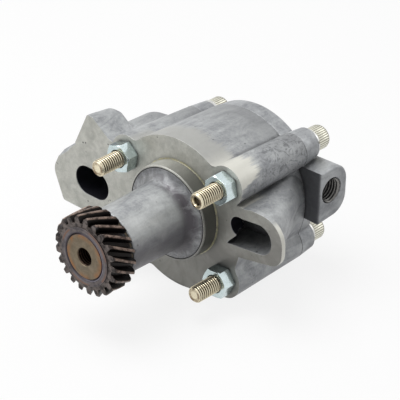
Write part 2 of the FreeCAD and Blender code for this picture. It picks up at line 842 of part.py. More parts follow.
def drive_gear():
    helix = math.radians(gear_helix)
    pitch_r = gear_module * gear_teeth / math.cos(helix) / 2
    side_angle = math.atan(math.tan(math.radians(gear_pressure_angle)) / math.cos(helix))
    base_r = pitch_r * math.cos(side_angle)
    tip_r = pitch_r + gear_addendum * gear_module
    root_r = pitch_r - gear_dedendum * gear_module
    half_tooth = math.pi / (2 * gear_teeth) - gear_backlash / pitch_r
    twist_per_mm = math.degrees(math.tan(helix) / pitch_r)
    sections = []
    for index in range(gear_loft_sections):
        y = gear_front_y + gear_width * index / (gear_loft_sections - 1)
        turn = gear_rotation - twist_per_mm * (y - gear_front_y)
        sections.append(gear_wire(y, turn, tip_r, root_r, base_r, pitch_r, half_tooth))
    toothed = Part.makeLoft(sections, True, False)
    face_y = gear_front_y + gear_ring_height
    bore_r = gear_journal_r
    blank = turned([
        (bore_r, gear_front_y + gear_bore_chamfer, 0),
        (bore_r + gear_bore_chamfer, gear_front_y, 0),
        (gear_ring_r, gear_front_y, 0.3),
        (gear_ring_r, face_y, 0),
        (tip_r - gear_end_chamfer, face_y, 0),
        (tip_r + 0.1, face_y + gear_end_chamfer + 0.1, 0),
        (tip_r + 0.1, gear_rear_y - gear_end_chamfer - 0.1, 0),
        (tip_r - gear_end_chamfer, gear_rear_y, 0),
        (bore_r, gear_rear_y, 0),
    ])
    return toothed.common(blank)


def dowel_pins():
    half = dowel_length / 2
    middle = housing_length + gasket_thickness / 2
    pins = []
    for x, z in dowel_places():
        pin = rod(dowel_r, middle - half, middle + half, x, z)
        pins.append(pin.makeChamfer(0.4, [edge for edge in pin.Edges if edge.Closed]))
    return Part.makeCompound(pins)


def hexagon_face(across_flats, turn, place, centre):
    corner_r = across_flats / math.sqrt(3)
    points = [place(*polar(*centre, corner_r, turn + 60 * index)) for index in range(6)]
    return Part.Face(Part.makePolygon(points + points[:1]))


def cap_screws():
    # Socket head cap screws from the cover seats through to the flange side.
    under_head_y = seat_y + lock_washer_thickness
    tip_y = under_head_y - screw_length
    head_end_y = under_head_y + screw_head_height
    screws = []
    for x, z, turn in screw_places.values():
        profile = turned([
            (0, tip_y, 0),
            (screw_r - screw_tip_chamfer, tip_y, 0),
            (screw_r, tip_y + screw_tip_chamfer, 0),
            (screw_r, under_head_y, 0),
            (screw_head_r, under_head_y, 0),
            (screw_head_r, head_end_y, 0.7),
            (0, head_end_y, 0),
        ])
        profile.translate(FreeCAD.Vector(x, 0, z))
        socket = hexagon_face(socket_across_flats, turn, across_axis(head_end_y), (x, z))
        socket = socket.extrude(FreeCAD.Vector(0, -socket_depth, 0))
        screws.append(profile.cut(socket))
    return Part.makeCompound(screws)


def lock_washers():
    washers = []
    for x, z, turn in screw_places.values():
        washer = ring(lock_washer_r, lock_washer_bore_r, seat_y, seat_y + lock_washer_thickness, x, z)
        slit = block((x, x + far), (seat_y - 1, seat_y + lock_washer_thickness + 1),
                     (z - lock_washer_slit / 2, z + lock_washer_slit / 2))
        slit.rotate(FreeCAD.Vector(x, 0, z), FreeCAD.Vector(0, 1, 0), turn)
        washers.append(washer.cut(slit))
    return Part.makeCompound(washers)


def hex_nuts():
    nuts = []
    for x, z, turn in screw_places.values():
        corner_r = nut_across_flats / math.sqrt(3)
        edge_r = corner_r - nut_corner_chamfer
        drop = nut_corner_chamfer * math.tan(math.radians(30))
        outline = hexagon_face(nut_across_flats, turn, across_axis(-nut_height), (x, z))
        prism_shape = outline.extrude(FreeCAD.Vector(0, nut_height, 0))
        envelope = turned([
            (screw_r, -nut_height + 0.5, 0),
            (screw_r + 0.5, -nut_height, 0),
            (edge_r, -nut_height, 0),
            (corner_r + 0.1, -nut_height + drop + 0.06, 0),
            (corner_r + 0.1, -drop - 0.06, 0),
            (edge_r, 0, 0),
            (screw_r + 0.5, 0, 0),
            (screw_r, -0.5, 0),
        ])
        envelope.translate(FreeCAD.Vector(x, 0, z))
        nuts.append(prism_shape.common(envelope))
    return Part.makeCompound(nuts)


def relief_plunger():
    radius = relief_bore_r - plunger_gap
    body = cross_rod(radius, relief_seat_x - plunger_length, relief_seat_x, relief_y, relief_z)
    body = body.makeChamfer(0.6, [edge for edge in body.Edges if lies_in_plane_x(relief_seat_x)(edge)])
    cup = cross_rod(radius - plunger_wall, relief_seat_x - plunger_length - 1, relief_seat_x - plunger_nose_wall,
                    relief_y, relief_z)
    return body.cut(cup)


def spring_mean_r():
    return relief_bore_r - plunger_gap - plunger_wall - spring_gap - spring_wire_r


def relief_spring():
    start_x = relief_boss_left + plug_thread_length + spring_wire_r
    end_x = relief_seat_x - plunger_nose_wall - spring_wire_r
    pitch = (end_x - start_x) / spring_turns
    helix = Part.makeHelix(pitch, end_x - start_x, spring_mean_r())
    circle = Part.Circle(FreeCAD.Vector(spring_mean_r(), 0, 0), FreeCAD.Vector(0, 1, 0), spring_wire_r)
    section = Part.Wire([circle.toShape()])
    spring = Part.Wire(helix.Edges).makePipeShell([section], True, True)
    spring.rotate(FreeCAD.Vector(0, 0, 0), FreeCAD.Vector(0, 1, 0), 90)
    spring.translate(FreeCAD.Vector(start_x, relief_y, relief_z))
    return spring


def relief_plug():
    thread_end_x = relief_boss_left + plug_thread_length
    head_x = relief_boss_left - plug_washer_thickness
    shank = cross_rod(plug_thread_r, head_x, thread_end_x, relief_y, relief_z)
    head = hexagon_face(plug_across_flats, 0, across_x(head_x), (relief_y, relief_z))
    head = head.extrude(FreeCAD.Vector(-plug_head_height, 0, 0))
    return head.fuse(shank)


def relief_plug_washer():
    left = relief_boss_left - plug_washer_thickness
    outer = cross_rod(plug_washer_r, left, relief_boss_left, relief_y, relief_z)
    return outer.cut(cross_rod(plug_thread_r, left - 1, relief_boss_left + 1, relief_y, relief_z))


sub_parts = {
    "pump_housing": pump_housing,
    "rear_cover": rear_cover,
    "cover_gasket": cover_gasket,
    "drive_gear": drive_gear,
    "drive_shaft": drive_shaft,
    "thrust_washer": thrust_washer,
    "front_bush": front_bush,
    "mid_bush": mid_bush,
    "rear_bush": rear_bush,
    "inner_rotor": inner_rotor,
    "outer_rotor": outer_rotor,
    "rotor_drive_pin": rotor_drive_pin,
    "dowel_pins": dowel_pins,
    "relief_plunger": relief_plunger,
    "relief_spring": relief_spring,
    "relief_plug": relief_plug,
    "relief_plug_washer": relief_plug_washer,
    "cap_screws": cap_screws,
    "lock_washers": lock_washers,
    "hex_nuts": hex_nuts,
}

os.makedirs("parts", exist_ok=True)
for name, make in sub_parts.items():
    shape = make()
    shape.exportStep("parts/" + name + ".step")
    print(name, "solids", len(shape.Solids), "valid", shape.isValid(), "volume", round(shape.Volume, 1))
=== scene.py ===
import math
import bmesh
import bpy
from mathutils import Matrix, Vector


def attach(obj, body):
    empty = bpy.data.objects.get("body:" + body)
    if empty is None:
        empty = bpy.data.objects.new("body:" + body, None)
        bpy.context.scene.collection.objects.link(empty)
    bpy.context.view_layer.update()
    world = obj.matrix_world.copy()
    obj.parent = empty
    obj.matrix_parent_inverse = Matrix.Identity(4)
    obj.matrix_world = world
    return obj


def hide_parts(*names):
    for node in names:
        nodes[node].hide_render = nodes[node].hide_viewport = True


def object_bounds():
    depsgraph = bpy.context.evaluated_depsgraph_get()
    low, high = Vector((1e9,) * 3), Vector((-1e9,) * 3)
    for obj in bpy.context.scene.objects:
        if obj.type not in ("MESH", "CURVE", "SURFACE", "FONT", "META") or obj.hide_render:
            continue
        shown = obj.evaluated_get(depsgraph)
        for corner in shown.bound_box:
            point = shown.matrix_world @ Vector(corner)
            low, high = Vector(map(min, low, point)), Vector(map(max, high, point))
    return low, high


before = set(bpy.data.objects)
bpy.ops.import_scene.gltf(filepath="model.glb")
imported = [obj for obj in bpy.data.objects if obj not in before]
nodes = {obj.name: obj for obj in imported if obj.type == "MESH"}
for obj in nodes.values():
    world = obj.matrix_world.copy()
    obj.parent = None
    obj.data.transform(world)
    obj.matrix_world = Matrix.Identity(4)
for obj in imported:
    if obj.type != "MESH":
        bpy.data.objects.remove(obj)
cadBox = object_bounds()
print("frame loaded:", len(nodes), "nodes")

mm = 0.001
falling = (1.0, 0.0)  # a mask that starts full and ends empty


# Small helpers for building node trees

treeGrid = {"perRow": 10, "across": 220, "down": 260}
mixSockets = {"RGBA": ((0, 6, 7), 2), "FLOAT": ((0, 2, 3), 0), "VECTOR": ((0, 4, 5), 1)}
socketKinds = {1: "NodeSocketFloat", 3: "NodeSocketVector", 4: "NodeSocketColor"}


def clearTree(owner):
    owner.use_nodes = True
    owner.node_tree.nodes.clear()
    return owner.node_tree


def addNode(tree, kind, **settings):
    node = tree.nodes.new(kind)
    row, column = divmod(len(tree.nodes), treeGrid["perRow"])
    node.location = (column * treeGrid["across"], -row * treeGrid["down"])
    for key, value in settings.items():
        setattr(node, key, value)
    return node


def join(tree, source, target):
    tree.links.new(source, target)


def plug(tree, socket, value):
    # a number, a vector, a colour or another node's output goes into the socket
    if isinstance(value, bpy.types.NodeSocket):
        join(tree, value, socket)
    else:
        socket.default_value = (*value, 1.0) if socket.type == "RGBA" else value


def fill(tree, node, **values):
    for key, value in values.items():
        plug(tree, node.inputs[key.replace("_", " ")], value)
    return node


def compute(tree, operation, *values, clamp=False):
    node = addNode(tree, "ShaderNodeMath", operation=operation, use_clamp=clamp)
    for socket, value in zip(node.inputs, values):
        plug(tree, socket, value)
    return node.outputs[0]


def product(tree, first, *others):
    for other in others:
        first = compute(tree, "MULTIPLY", first, other)
    return first


def total(tree, first, *others, clamp=False):
    for other in others:
        first = compute(tree, "ADD", first, other, clamp=clamp)
    return first


def highest(tree, first, *others):
    for other in others:
        first = compute(tree, "MAXIMUM", first, other)
    return first


def minus(tree, first, second):
    return compute(tree, "SUBTRACT", first, second)


def inverse(tree, mask):
    return minus(tree, 1.0, mask)


def lengthOf(tree, first, second):
    squares = total(tree, product(tree, first, first), product(tree, second, second))
    return compute(tree, "SQRT", squares)


def ramp(tree, value, edges, reach=(0.0, 1.0), unit=1.0, smooth=True):
    # a smooth or straight step of the value from one edge to the other
    node = addNode(tree, "ShaderNodeMapRange", interpolation_type="SMOOTHSTEP" if smooth else "LINEAR")
    fill(tree, node, Value=value, From_Min=edges[0] * unit, From_Max=edges[1] * unit,
         To_Min=reach[0], To_Max=reach[1])
    return node.outputs["Result"]


def rise(tree, value, edges):
    # edges in mm
    return ramp(tree, value, edges, unit=mm)


def fall(tree, value, edges):
    return ramp(tree, value, edges, falling, mm)


def window(tree, value, start, end):
    return product(tree, rise(tree, value, start), fall(tree, value, end))


def blend(tree, share, first, second, kind="RGBA"):
    node = addNode(tree, "ShaderNodeMix", data_type=kind)
    inward, outward = mixSockets[kind]
    for index, value in zip(inward, (share, first, second)):
        plug(tree, node.inputs[index], value)
    return node.outputs[outward]


def paint(tree, colour, *layers):
    # each layer is a mask and the colour that it brings
    for mask, shade in layers:
        colour = blend(tree, mask, colour, shade)
    return colour


def dotProduct(tree, first, second):
    node = addNode(tree, "ShaderNodeVectorMath", operation="DOT_PRODUCT")
    join(tree, first, node.inputs[0])
    join(tree, second, node.inputs[1])
    return node.outputs["Value"]


def noise(tree, place, **values):
    return fill(tree, addNode(tree, "ShaderNodeTexNoise"), Vector=place, **values).outputs["Fac"]


def stretched(tree, place, scale):
    return fill(tree, addNode(tree, "ShaderNodeMapping"), Vector=place, Scale=scale).outputs[0]


def splitXyz(tree, vector):
    return fill(tree, addNode(tree, "ShaderNodeSeparateXYZ"), Vector=vector).outputs


def objectCoords(tree):
    outputs = addNode(tree, "ShaderNodeTexCoord").outputs
    return outputs["Object"], outputs["Normal"]


def newGroup(name, inputs, outputs):
    # inputs hold start values, outputs the number of parts of a value, a vector or a colour
    group = bpy.data.node_groups.new(name, "ShaderNodeTree")
    for label, value in inputs.items():
        kind = socketKinds[len(value) if isinstance(value, tuple) else 1]
        group.interface.new_socket(name=label, in_out="INPUT", socket_type=kind).default_value = value
    for label, parts in outputs.items():
        group.interface.new_socket(name=label, in_out="OUTPUT", socket_type=socketKinds[parts])
    return group, addNode(group, "NodeGroupInput").outputs, addNode(group, "NodeGroupOutput")


def placeGroup(tree, group, **values):
    return fill(tree, addNode(tree, "ShaderNodeGroup", node_tree=group), **values).outputs


# Shared surface effects, each one a node group

castSettings = {
    "cloud": {"Detail": 7.0, "Roughness": 0.68, "Distortion": 0.9}, "cloudEdges": (0.32, 0.68),
    "grain": {"Detail": 3.0, "Roughness": 0.6}, "grainEdges": (0.25, 0.75),
    "flow": {"Scale": 240.0, "Detail": 5.0, "Roughness": 0.65, "Distortion": 0.7}, "flowEdges": (0.30, 0.70),
    "flowStretch": (1.0, 0.22, 1.0), "cloudShare": 0.36, "flowShare": 0.34, "grainShare": 0.30,
    "smear": {"Scale": 46.0, "Detail": 8.0, "Roughness": 0.7, "Distortion": 2.8}, "smearEdges": (0.52, 0.72),
    "smearColour": (0.13, 0.135, 0.15), "pitColour": (0.05, 0.05, 0.055), "pitDepth": 2.5,
    "pits": {"Scale": 330.0, "Randomness": 1.0}, "pitEdges": (0.10, 0.22),
    "rare": {"Scale": 120.0, "Detail": 2.0}, "rareEdges": (0.56, 0.66),
    "cloudGloss": -0.10, "grainGloss": 0.16,
}


def buildCastGrain():
    # cast skin: cloudy patches, streaks, fine grain, smears and a few small pits
    s = castSettings
    group, given, out = newGroup("castGrain", {
        "Low": (0.3, 0.3, 0.3, 1), "High": (0.5, 0.5, 0.5, 1), "Cloud Scale": 70.0, "Grain Scale": 900.0,
        "Pits": 0.5, "Stains": 0.3}, {"Colour": 4, "Gloss": 1, "Height": 1})
    place = objectCoords(group)[0]
    cloud = ramp(group, noise(group, place, Scale=given["Cloud Scale"], **s["cloud"]), s["cloudEdges"])
    grain = noise(group, place, Scale=given["Grain Scale"], **s["grain"])
    grain = ramp(group, grain, s["grainEdges"], smooth=False)
    flow = noise(group, stretched(group, place, s["flowStretch"]), **s["flow"])
    flow = ramp(group, flow, s["flowEdges"])
    mixed = total(group, product(group, cloud, s["cloudShare"]), product(group, flow, s["flowShare"]),
                  product(group, grain, s["grainShare"]))
    colour = blend(group, mixed, given["Low"], given["High"])
    smear = ramp(group, noise(group, place, **s["smear"]), s["smearEdges"])
    colour = blend(group, product(group, smear, given["Stains"]), colour, s["smearColour"])
    pits = fill(group, addNode(group, "ShaderNodeTexVoronoi"), Vector=place, **s["pits"]).outputs["Distance"]
    rare = ramp(group, noise(group, place, **s["rare"]), s["rareEdges"])
    pitted = product(group, ramp(group, pits, s["pitEdges"], falling), rare, given["Pits"])
    gloss = total(group, product(group, cloud, s["cloudGloss"]), product(group, grain, s["grainGloss"]))
    height = minus(group, grain, product(group, pitted, s["pitDepth"]))
    fill(group, out, Colour=blend(group, pitted, colour, s["pitColour"]), Gloss=gloss, Height=height)
    return group


wearSettings = {"samples": 6, "turned": (0.80, 0.995), "rubbedEdges": (0.35, 0.65),
                "rub": {"Scale": 420.0, "Detail": 4.0, "Roughness": 0.7}}


def buildEdgeWear():
    # a bright rubbed line along corners, and the rounded normal that goes with it
    s = wearSettings
    group, given, out = newGroup("edgeWear", {"Radius": 0.0005, "Breakup": 0.5}, {"Edge": 1, "Normal": 3})
    bevel = addNode(group, "ShaderNodeBevel", samples=s["samples"])
    rounded = fill(group, bevel, Radius=given["Radius"]).outputs["Normal"]
    plain = addNode(group, "ShaderNodeNewGeometry").outputs["Normal"]
    turned = ramp(group, dotProduct(group, rounded, plain), s["turned"], falling)
    broken = ramp(group, noise(group, objectCoords(group)[0], **s["rub"]), s["rubbedEdges"])
    kept = inverse(group, product(group, broken, given["Breakup"]))
    fill(group, out, Edge=product(group, turned, kept), Normal=rounded)
    return group


turnedSettings = {"fine": {"Detail": 2.0, "Roughness": 0.6}, "wide": {"Scale": 260.0, "Detail": 1.0}}


def buildTurnedMarks():
    # fine rings left by a lathe or a facing cut, round the Y axis
    group, given, out = newGroup("turnedMarks", {"Rings": 2400.0}, {"Mark": 1, "Sweep": 1})
    parts = splitXyz(group, objectCoords(group)[0])
    radius = lengthOf(group, parts["X"], parts["Z"])
    rolled = fill(group, addNode(group, "ShaderNodeCombineXYZ"), X=radius, Y=parts["Y"]).outputs[0]
    fill(group, out, Mark=noise(group, rolled, Scale=given["Rings"], **turnedSettings["fine"]),
         Sweep=noise(group, rolled, **turnedSettings["wide"]))
    return group


tintSettings = {"patch": {"Detail": 4.0, "Roughness": 0.6, "Distortion": 0.8}, "edges": (0.38, 0.66)}


def buildOilTint():
    # thin brown or straw film that gathers in patches
    s = tintSettings
    group, given, out = newGroup("oilTint", {"Patch Scale": 160.0, "Cover": 0.5}, {"Film": 1})
    patch = noise(group, objectCoords(group)[0], Scale=given["Patch Scale"], **s["patch"])
    fill(group, out, Film=product(group, ramp(group, patch, s["edges"]), given["Cover"]))
    return group


cornerShadeSettings = {"samples": 8, "shut": (0.42, 0.88), "patchEdges": (0.3, 0.7), "patchReach": (0.7, 1.0),
                 "patch": {"Scale": 300.0, "Detail": 4.0, "Roughness": 0.65}}


def buildCavityGrime():
    # painted shade in corners, holes and under hardware, from ambient occlusion with a patchy strength
    s = cornerShadeSettings
    group, given, out = newGroup("cavityGrime", {"Reach": 0.004, "Density": 1.0}, {"Grime": 1})
    hollow = addNode(group, "ShaderNodeAmbientOcclusion", samples=s["samples"])
    shut = ramp(group, fill(group, hollow, Distance=given["Reach"]).outputs["AO"], s["shut"], falling)
    patch = noise(group, objectCoords(group)[0], **s["patch"])
    mask = product(group, shut, ramp(group, patch, s["patchEdges"], s["patchReach"]))
    fill(group, out, Grime=compute(group, "MULTIPLY", mask, given["Density"], clamp=True))
    return group


sideSettings = {"patch": {"Scale": 90.0, "Detail": 5.0, "Roughness": 0.6, "Distortion": 0.6},
                "middle": 0.5, "swing": 0.5}


def buildOneSide():
    # the side of the object whose surface faces a direction, with a patchy border
    s = sideSettings
    inputs = {"Direction": (0.0, 0.0, -1.0), "From": 0.0, "To": 1.0}
    group, given, out = newGroup("oneSide", inputs, {"Mask": 1})
    place, facing = objectCoords(group)
    patch = minus(group, noise(group, place, **s["patch"]), s["middle"])
    swung = total(group, dotProduct(group, facing, given["Direction"]), product(group, patch, s["swing"]))
    reach = addNode(group, "ShaderNodeMapRange", interpolation_type="SMOOTHSTEP")
    fill(group, reach, Value=swung, From_Min=given["From"], From_Max=given["To"])
    fill(group, out, Mask=reach.outputs["Result"])
    return group


castGrain = buildCastGrain()
edgeWear = buildEdgeWear()
turnedMarks = buildTurnedMarks()
oilTint = buildOilTint()
cavityGrime = buildCavityGrime()
oneSide = buildOneSide()
print("surface effects ready")


# Parts of a finish: how a material starts, what it places and how it ends

def startMaterial(name):
    material = bpy.data.materials.new(name)
    return material, clearTree(material)


def grainOn(tree, tones):
    return placeGroup(tree, castGrain, Low=tones["low"], High=tones["high"], Cloud_Scale=tones["cloud"],
                      Grain_Scale=tones["grain"], Pits=tones["pits"], Stains=tones["stains"])


def wearOn(tree, look):
    return placeGroup(tree, edgeWear, Radius=look["corner"] * mm, Breakup=look["breakup"])


def cornerShadeOn(tree, look):
    return placeGroup(tree, cavityGrime, Reach=look["shadeReach"] * mm, Density=look["shadeDensity"])["Grime"]


def patchesOn(tree, scale, cover):
    return placeGroup(tree, oilTint, Patch_Scale=scale, Cover=cover)["Film"]


def sideOn(tree, direction, start, end):
    return placeGroup(tree, oneSide, Direction=direction, From=start, To=end)["Mask"]


def closeMaterial(tree, look, colour, rough, height, normal):
    bump = fill(tree, addNode(tree, "ShaderNodeBump"), Strength=look["bumpStrength"],
                Distance=look["bumpDepth"] * mm, Height=height, Normal=normal)
    shader = fill(tree, addNode(tree, "ShaderNodeBsdfPrincipled"), Metallic=look["metallic"],
                  Base_Color=colour, Roughness=rough, Normal=bump.outputs["Normal"])
    fill(tree, addNode(tree, "ShaderNodeOutputMaterial"), Surface=shader.outputs[0])


def nearSlot(tree, parts, slot):
    # 1 inside a straight slot that runs along X with round ends
    middle = (slot["left"] + slot["right"]) / 2
    half = (slot["right"] - slot["left"]) / 2 - slot["radius"]
    offset = compute(tree, "ABSOLUTE", minus(tree, parts["X"], middle * mm))
    past = compute(tree, "MAXIMUM", minus(tree, offset, half * mm), 0.0)
    upward = minus(tree, parts["Z"], slot["z"] * mm)
    edge = slot["radius"] + slot["margin"]
    return fall(tree, lengthOf(tree, past, upward), (edge, edge + slot["soft"]))


def nearAxis(tree, parts, axis):
    # 1 inside a cylinder along Y
    across = minus(tree, parts["X"], axis["centre"][0] * mm)
    upward = minus(tree, parts["Z"], axis["centre"][1] * mm)
    return fall(tree, lengthOf(tree, across, upward), (axis["radius"], axis["radius"] + axis["soft"]))


def nearLine(tree, parts, line, radius, soft):
    # 1 near the line from (x, z) on the flange to (x, z) at the end of the casting
    offsets = []
    for front, rear, axis in zip(line["front"], line["rear"], ("X", "Z")):
        drift = compute(tree, "MULTIPLY_ADD", parts["Y"], (rear - front) / line["length"], front * mm)
        offsets.append(minus(tree, parts[axis], drift))
    return fall(tree, lengthOf(tree, *offsets), (radius, radius + soft))


# Housing: cast outside with a rubbed bright band, faced flange, turned pilot, painted shade underneath, in
# the crease and in the dark openings, and painted highlights on the snout and the outlet rim

housingLook = {
    "cast": {"low": (0.155, 0.162, 0.175), "high": (0.55, 0.565, 0.565), "cloud": 70.0, "grain": 950.0,
             "pits": 0.8, "stains": 0.42},
    "faced": {"low": (0.300, 0.300, 0.272), "high": (0.595, 0.595, 0.545), "cloud": 55.0, "grain": 1500.0,
              "pits": 0.9, "stains": 0.12},
    "castRough": 0.44, "facedRough": 0.36, "metallic": 0.40, "bumpStrength": 0.6, "bumpDepth": 0.08,
    "rings": 3200.0, "ringDepth": 0.5, "corner": 0.35, "breakup": 0.45,
    "shadeReach": 3.0, "shadeDensity": 0.7,
    "rubbed": (0.66, 0.67, 0.67), "rubbedShare": 0.5, "paintedShade": (0.030, 0.031, 0.034),
    # faced flange and turned pilot, where places and radii are in mm
    "forward": (-0.98, -0.90), "frontFace": (0.2, 0.6), "flangeFace": (-0.4, -0.1),
    "pilotInner": (22.20, 22.35), "pilotOuter": (23.6, 23.8),
    "rootLine": (0.62, 0.58, 0.36), "rootY": (-0.45, -0.2), "rootBreak": (0.38, 0.60),
    "rootReach": (0.25, 0.95), "rootUnshaded": 0.85,
    # bright band behind the flange, with its jag and drop in m
    "streak": {"Scale": 520.0, "Detail": 6.0, "Roughness": 0.7}, "streakStretch": (1.0, 0.10, 1.0),
    "streakMiddle": 0.5, "bandJag": 0.020, "bandUp": (-0.05, 0.62), "bandDrop": (-0.014, 0.0),
    "bandLeft": (-34.0, -29.0), "bandRight": (37.2, 38.5), "bandLow": (2.0, 8.0), "bandRadius": (30.0, 33.0),
    "bandEnd": (10.5, 15.5), "bandShare": 0.85, "bandColour": (0.375, 0.375, 0.355),
    "bossFrom": (12.0, 26.0), "bossColour": (0.68, 0.67, 0.605),
    # darker and lighter sides of the casting: painted shade and painted highlight
    "under": ((0.50, 0.0, -0.87), -0.25, 0.95), "underShare": 0.47, "underside": (0.17, 0.17, 0.185),
    "rearY": (14.0, 46.0), "rearReach": (0.0, 0.64), "rearUp": (0.1, 0.6), "rear": (0.20, 0.205, 0.21),
    "snoutY": (-2.2, -1.2), "snoutUnder": ((0.72, 0.0, -0.69), 0.10, 0.80), "snoutShare": 0.72,
    "snoutShade": (0.070, 0.064, 0.072), "snoutSide": ((0.74, 0.0, 0.67), 0.80, 1.05), "litShare": 0.34,
    "snoutLight": (0.60, 0.615, 0.60), "rootSide": ((0.85, 0.0, 0.53), 0.25, 0.90),
    "filletFront": (-16.5, -11.0), "filletRear": (-7.8, -7.0), "filletSide": 0.62,
    "blotch": {"Scale": 130.0, "Detail": 5.0, "Roughness": 0.65, "Distortion": 1.6},
    "blotchEdges": (0.38, 0.62), "blotchReach": (0.15, 0.60),
    # painted shade that darkens the flange to the lower right, with its zones in m, and painted shade on the
    # pilot's shaded side
    "flangeShadeLean": 0.5, "flangeShadeZone": (-0.012, 0.036), "flangeShadeReach": (0.0, 0.75), "flangeShadePatch": (60.0, 0.35),
    "flangeShadePatchZone": (-0.012, 0.010), "filmAndShade": (0.20, 0.195, 0.18),
    "pilotUnder": 0.5, "pilotSide": 0.86, "pilotShade": (0.090, 0.090, 0.078),
    # fold between the body and the upper right boss, with painted shade along it, and swirls on that boss
    "valley": {"front": (19.69, 28.98), "rear": (20.14, 26.91), "length": 44.7},
    "foldWidth": (1.6, 1.6), "foldY": (3.5, 7.0), "foldRadius": 3.2, "foldSamples": 8,
    "valleyWidth": (0.10, 1.9), "valleyY": (8.0, 18.0), "valleyShare": 0.50,
    "boss": {"centre": (27.7, 22.2), "radius": 9.5, "soft": 1.5}, "swirlY": (14.0, 24.0),
    "swirls": {"Scale": 175.0, "Detail": 5.0, "Roughness": 0.62, "Distortion": 3.2},
    "swirlEdges": (0.50, 0.62), "swirlReach": (0.0, 0.62), "swirl": (0.075, 0.078, 0.085),
    # painted highlight on the right side of the outlet ear's rim
    "rimY": (2.6, 3.2), "rimX": (53.5, 58.0), "rimShare": 0.85,
    # painted shade in the inlet, outlet and gallery
    "deepFront": (0.3, 0.6), "deepRear": (20.5, 21.5), "inletRear": (16.0, 17.0),
    "inlet": {"left": -67.3, "right": -45.5, "z": -10.7, "radius": 7.5, "margin": 0.1, "soft": 0.2},
    "gallery": {"centre": (35.9, 4.5), "radius": 5.15, "soft": 0.1},
    "darkHole": (0.004, 0.004, 0.009), "holeShare": 0.98,
    "outlet": {"front": (46.3, 3.0), "rear": (23.4, 3.0), "length": 44.7}, "outletWidth": (10.2, 0.6),
    "mouth": {"left": 22.0, "right": 46.0, "z": 2.9, "radius": 9.6, "margin": 0.1, "soft": 0.6},
    "outletUp": (-0.55, 0.35), "outletUpReach": (0.95, 0.36),
    "outletY": (0.5, 7.0), "outletYReach": (0.55, 1.0),
    "outletShade": (0.012, 0.012, 0.017),
}


def housingZones(tree, look, parts, facing, streak):
    # masks that several colours share
    radius = lengthOf(tree, parts["X"], parts["Z"])
    jag = product(tree, minus(tree, streak, look["streakMiddle"]), look["bandJag"])
    drop = ramp(tree, facing["Z"], look["bandUp"], look["bandDrop"])
    jagged = minus(tree, total(tree, parts["Y"], jag), drop)
    atFront = fall(tree, parts["Y"], look["frontFace"])
    onFlange = rise(tree, parts["Y"], look["flangeFace"])
    forward = ramp(tree, facing["Y"], look["forward"], falling)
    pilotRing = window(tree, radius, look["pilotInner"], look["pilotOuter"])
    faced = product(tree, forward, atFront, onFlange)
    pilot = product(tree, pilotRing, atFront)
    band = product(tree, rise(tree, radius, look["bandRadius"]), rise(tree, parts["Z"], look["bandLow"]),
                   window(tree, parts["X"], look["bandLeft"], look["bandRight"]),
                   fall(tree, jagged, look["bandEnd"]))
    snout = fall(tree, parts["Y"], look["snoutY"])
    return {"jagged": jagged, "onFlange": onFlange, "faced": faced, "pilot": pilot, "band": band,
            "snout": snout, "machined": highest(tree, faced, pilot),
            "snoutUnder": sideOn(tree, *look["snoutUnder"]), "rootSide": sideOn(tree, *look["rootSide"])}


def castColourOf(tree, look, cast, place, parts, facing, zones):
    # cast skin with painted shade underneath, on upward faces towards the rear, under the snout and round the
    # snout's root, a painted highlight on the snout's lit side, and bright where the band was rubbed
    # painted shade underneath and on upward faces towards the rear
    under = product(tree, sideOn(tree, *look["under"]), look["underShare"])
    rearward = product(tree, ramp(tree, parts["Y"], look["rearY"], look["rearReach"], mm),
                       ramp(tree, facing["Z"], look["rearUp"]))
    # painted shade under the snout and a painted highlight on its lit side
    dark = product(tree, zones["snout"], zones["snoutUnder"], look["snoutShare"])
    lit = product(tree, zones["snout"], sideOn(tree, *look["snoutSide"]), look["litShare"])
    # painted shade in blotches round the snout's root
    blotch = ramp(tree, noise(tree, place, **look["blotch"]), look["blotchEdges"], look["blotchReach"])
    depth = total(tree, blotch, product(tree, zones["rootSide"], look["filletSide"]), clamp=True)
    fillet = product(tree, window(tree, parts["Y"], look["filletFront"], look["filletRear"]), depth)
    band = product(tree, zones["band"], look["bandShare"])
    onBoss = rise(tree, parts["X"], look["bossFrom"])
    return paint(tree, cast["Colour"], (under, look["underside"]), (rearward, look["rear"]),
                 (dark, look["snoutShade"]), (lit, look["snoutLight"]), (fillet, look["snoutShade"]),
                 (band, blend(tree, onBoss, look["bandColour"], look["bossColour"])))


def facedColourOf(tree, look, faced, parts, zones):
    # machined faces: painted shade that darkens them to the lower right with a patchy edge, and painted shade
    # on the pilot's shaded side
    # painted shade on the faced flange, darker to the lower right, with oil-tint patches along its edge
    lean = minus(tree, product(tree, parts["X"], look["flangeShadeLean"]), parts["Z"])
    patches = product(tree, patchesOn(tree, *look["flangeShadePatch"]), ramp(tree, lean, look["flangeShadePatchZone"]))
    filmAndShade = total(tree, ramp(tree, lean, look["flangeShadeZone"], look["flangeShadeReach"]), patches, clamp=True)
    under = product(tree, zones["pilot"], zones["snoutUnder"], look["pilotUnder"])
    side = product(tree, zones["pilot"], zones["rootSide"], look["pilotSide"])
    shaded = total(tree, under, side, clamp=True)
    return paint(tree, faced["Colour"], (filmAndShade, look["filmAndShade"]), (shaded, look["pilotShade"]))


def openingColours(tree, look, colour, parts, facing):
    # painted shade in the outlet, and black painted shade deep in the inlet and the gallery
    deep = window(tree, parts["Y"], look["deepFront"], look["deepRear"])
    outlet = highest(tree, nearLine(tree, parts, look["outlet"], *look["outletWidth"]),
                     nearSlot(tree, parts, look["mouth"]))
    outlet = product(tree, outlet, deep, ramp(tree, facing["Z"], look["outletUp"], look["outletUpReach"]),
                     ramp(tree, parts["Y"], look["outletY"], look["outletYReach"], mm))
    inlet = product(tree, fall(tree, parts["Y"], look["inletRear"]), nearSlot(tree, parts, look["inlet"]))
    holes = highest(tree, inlet, nearAxis(tree, parts, look["gallery"]))
    return paint(tree, colour, (outlet, look["outletShade"]),
                 (product(tree, deep, holes, look["holeShare"]), look["darkHole"]))


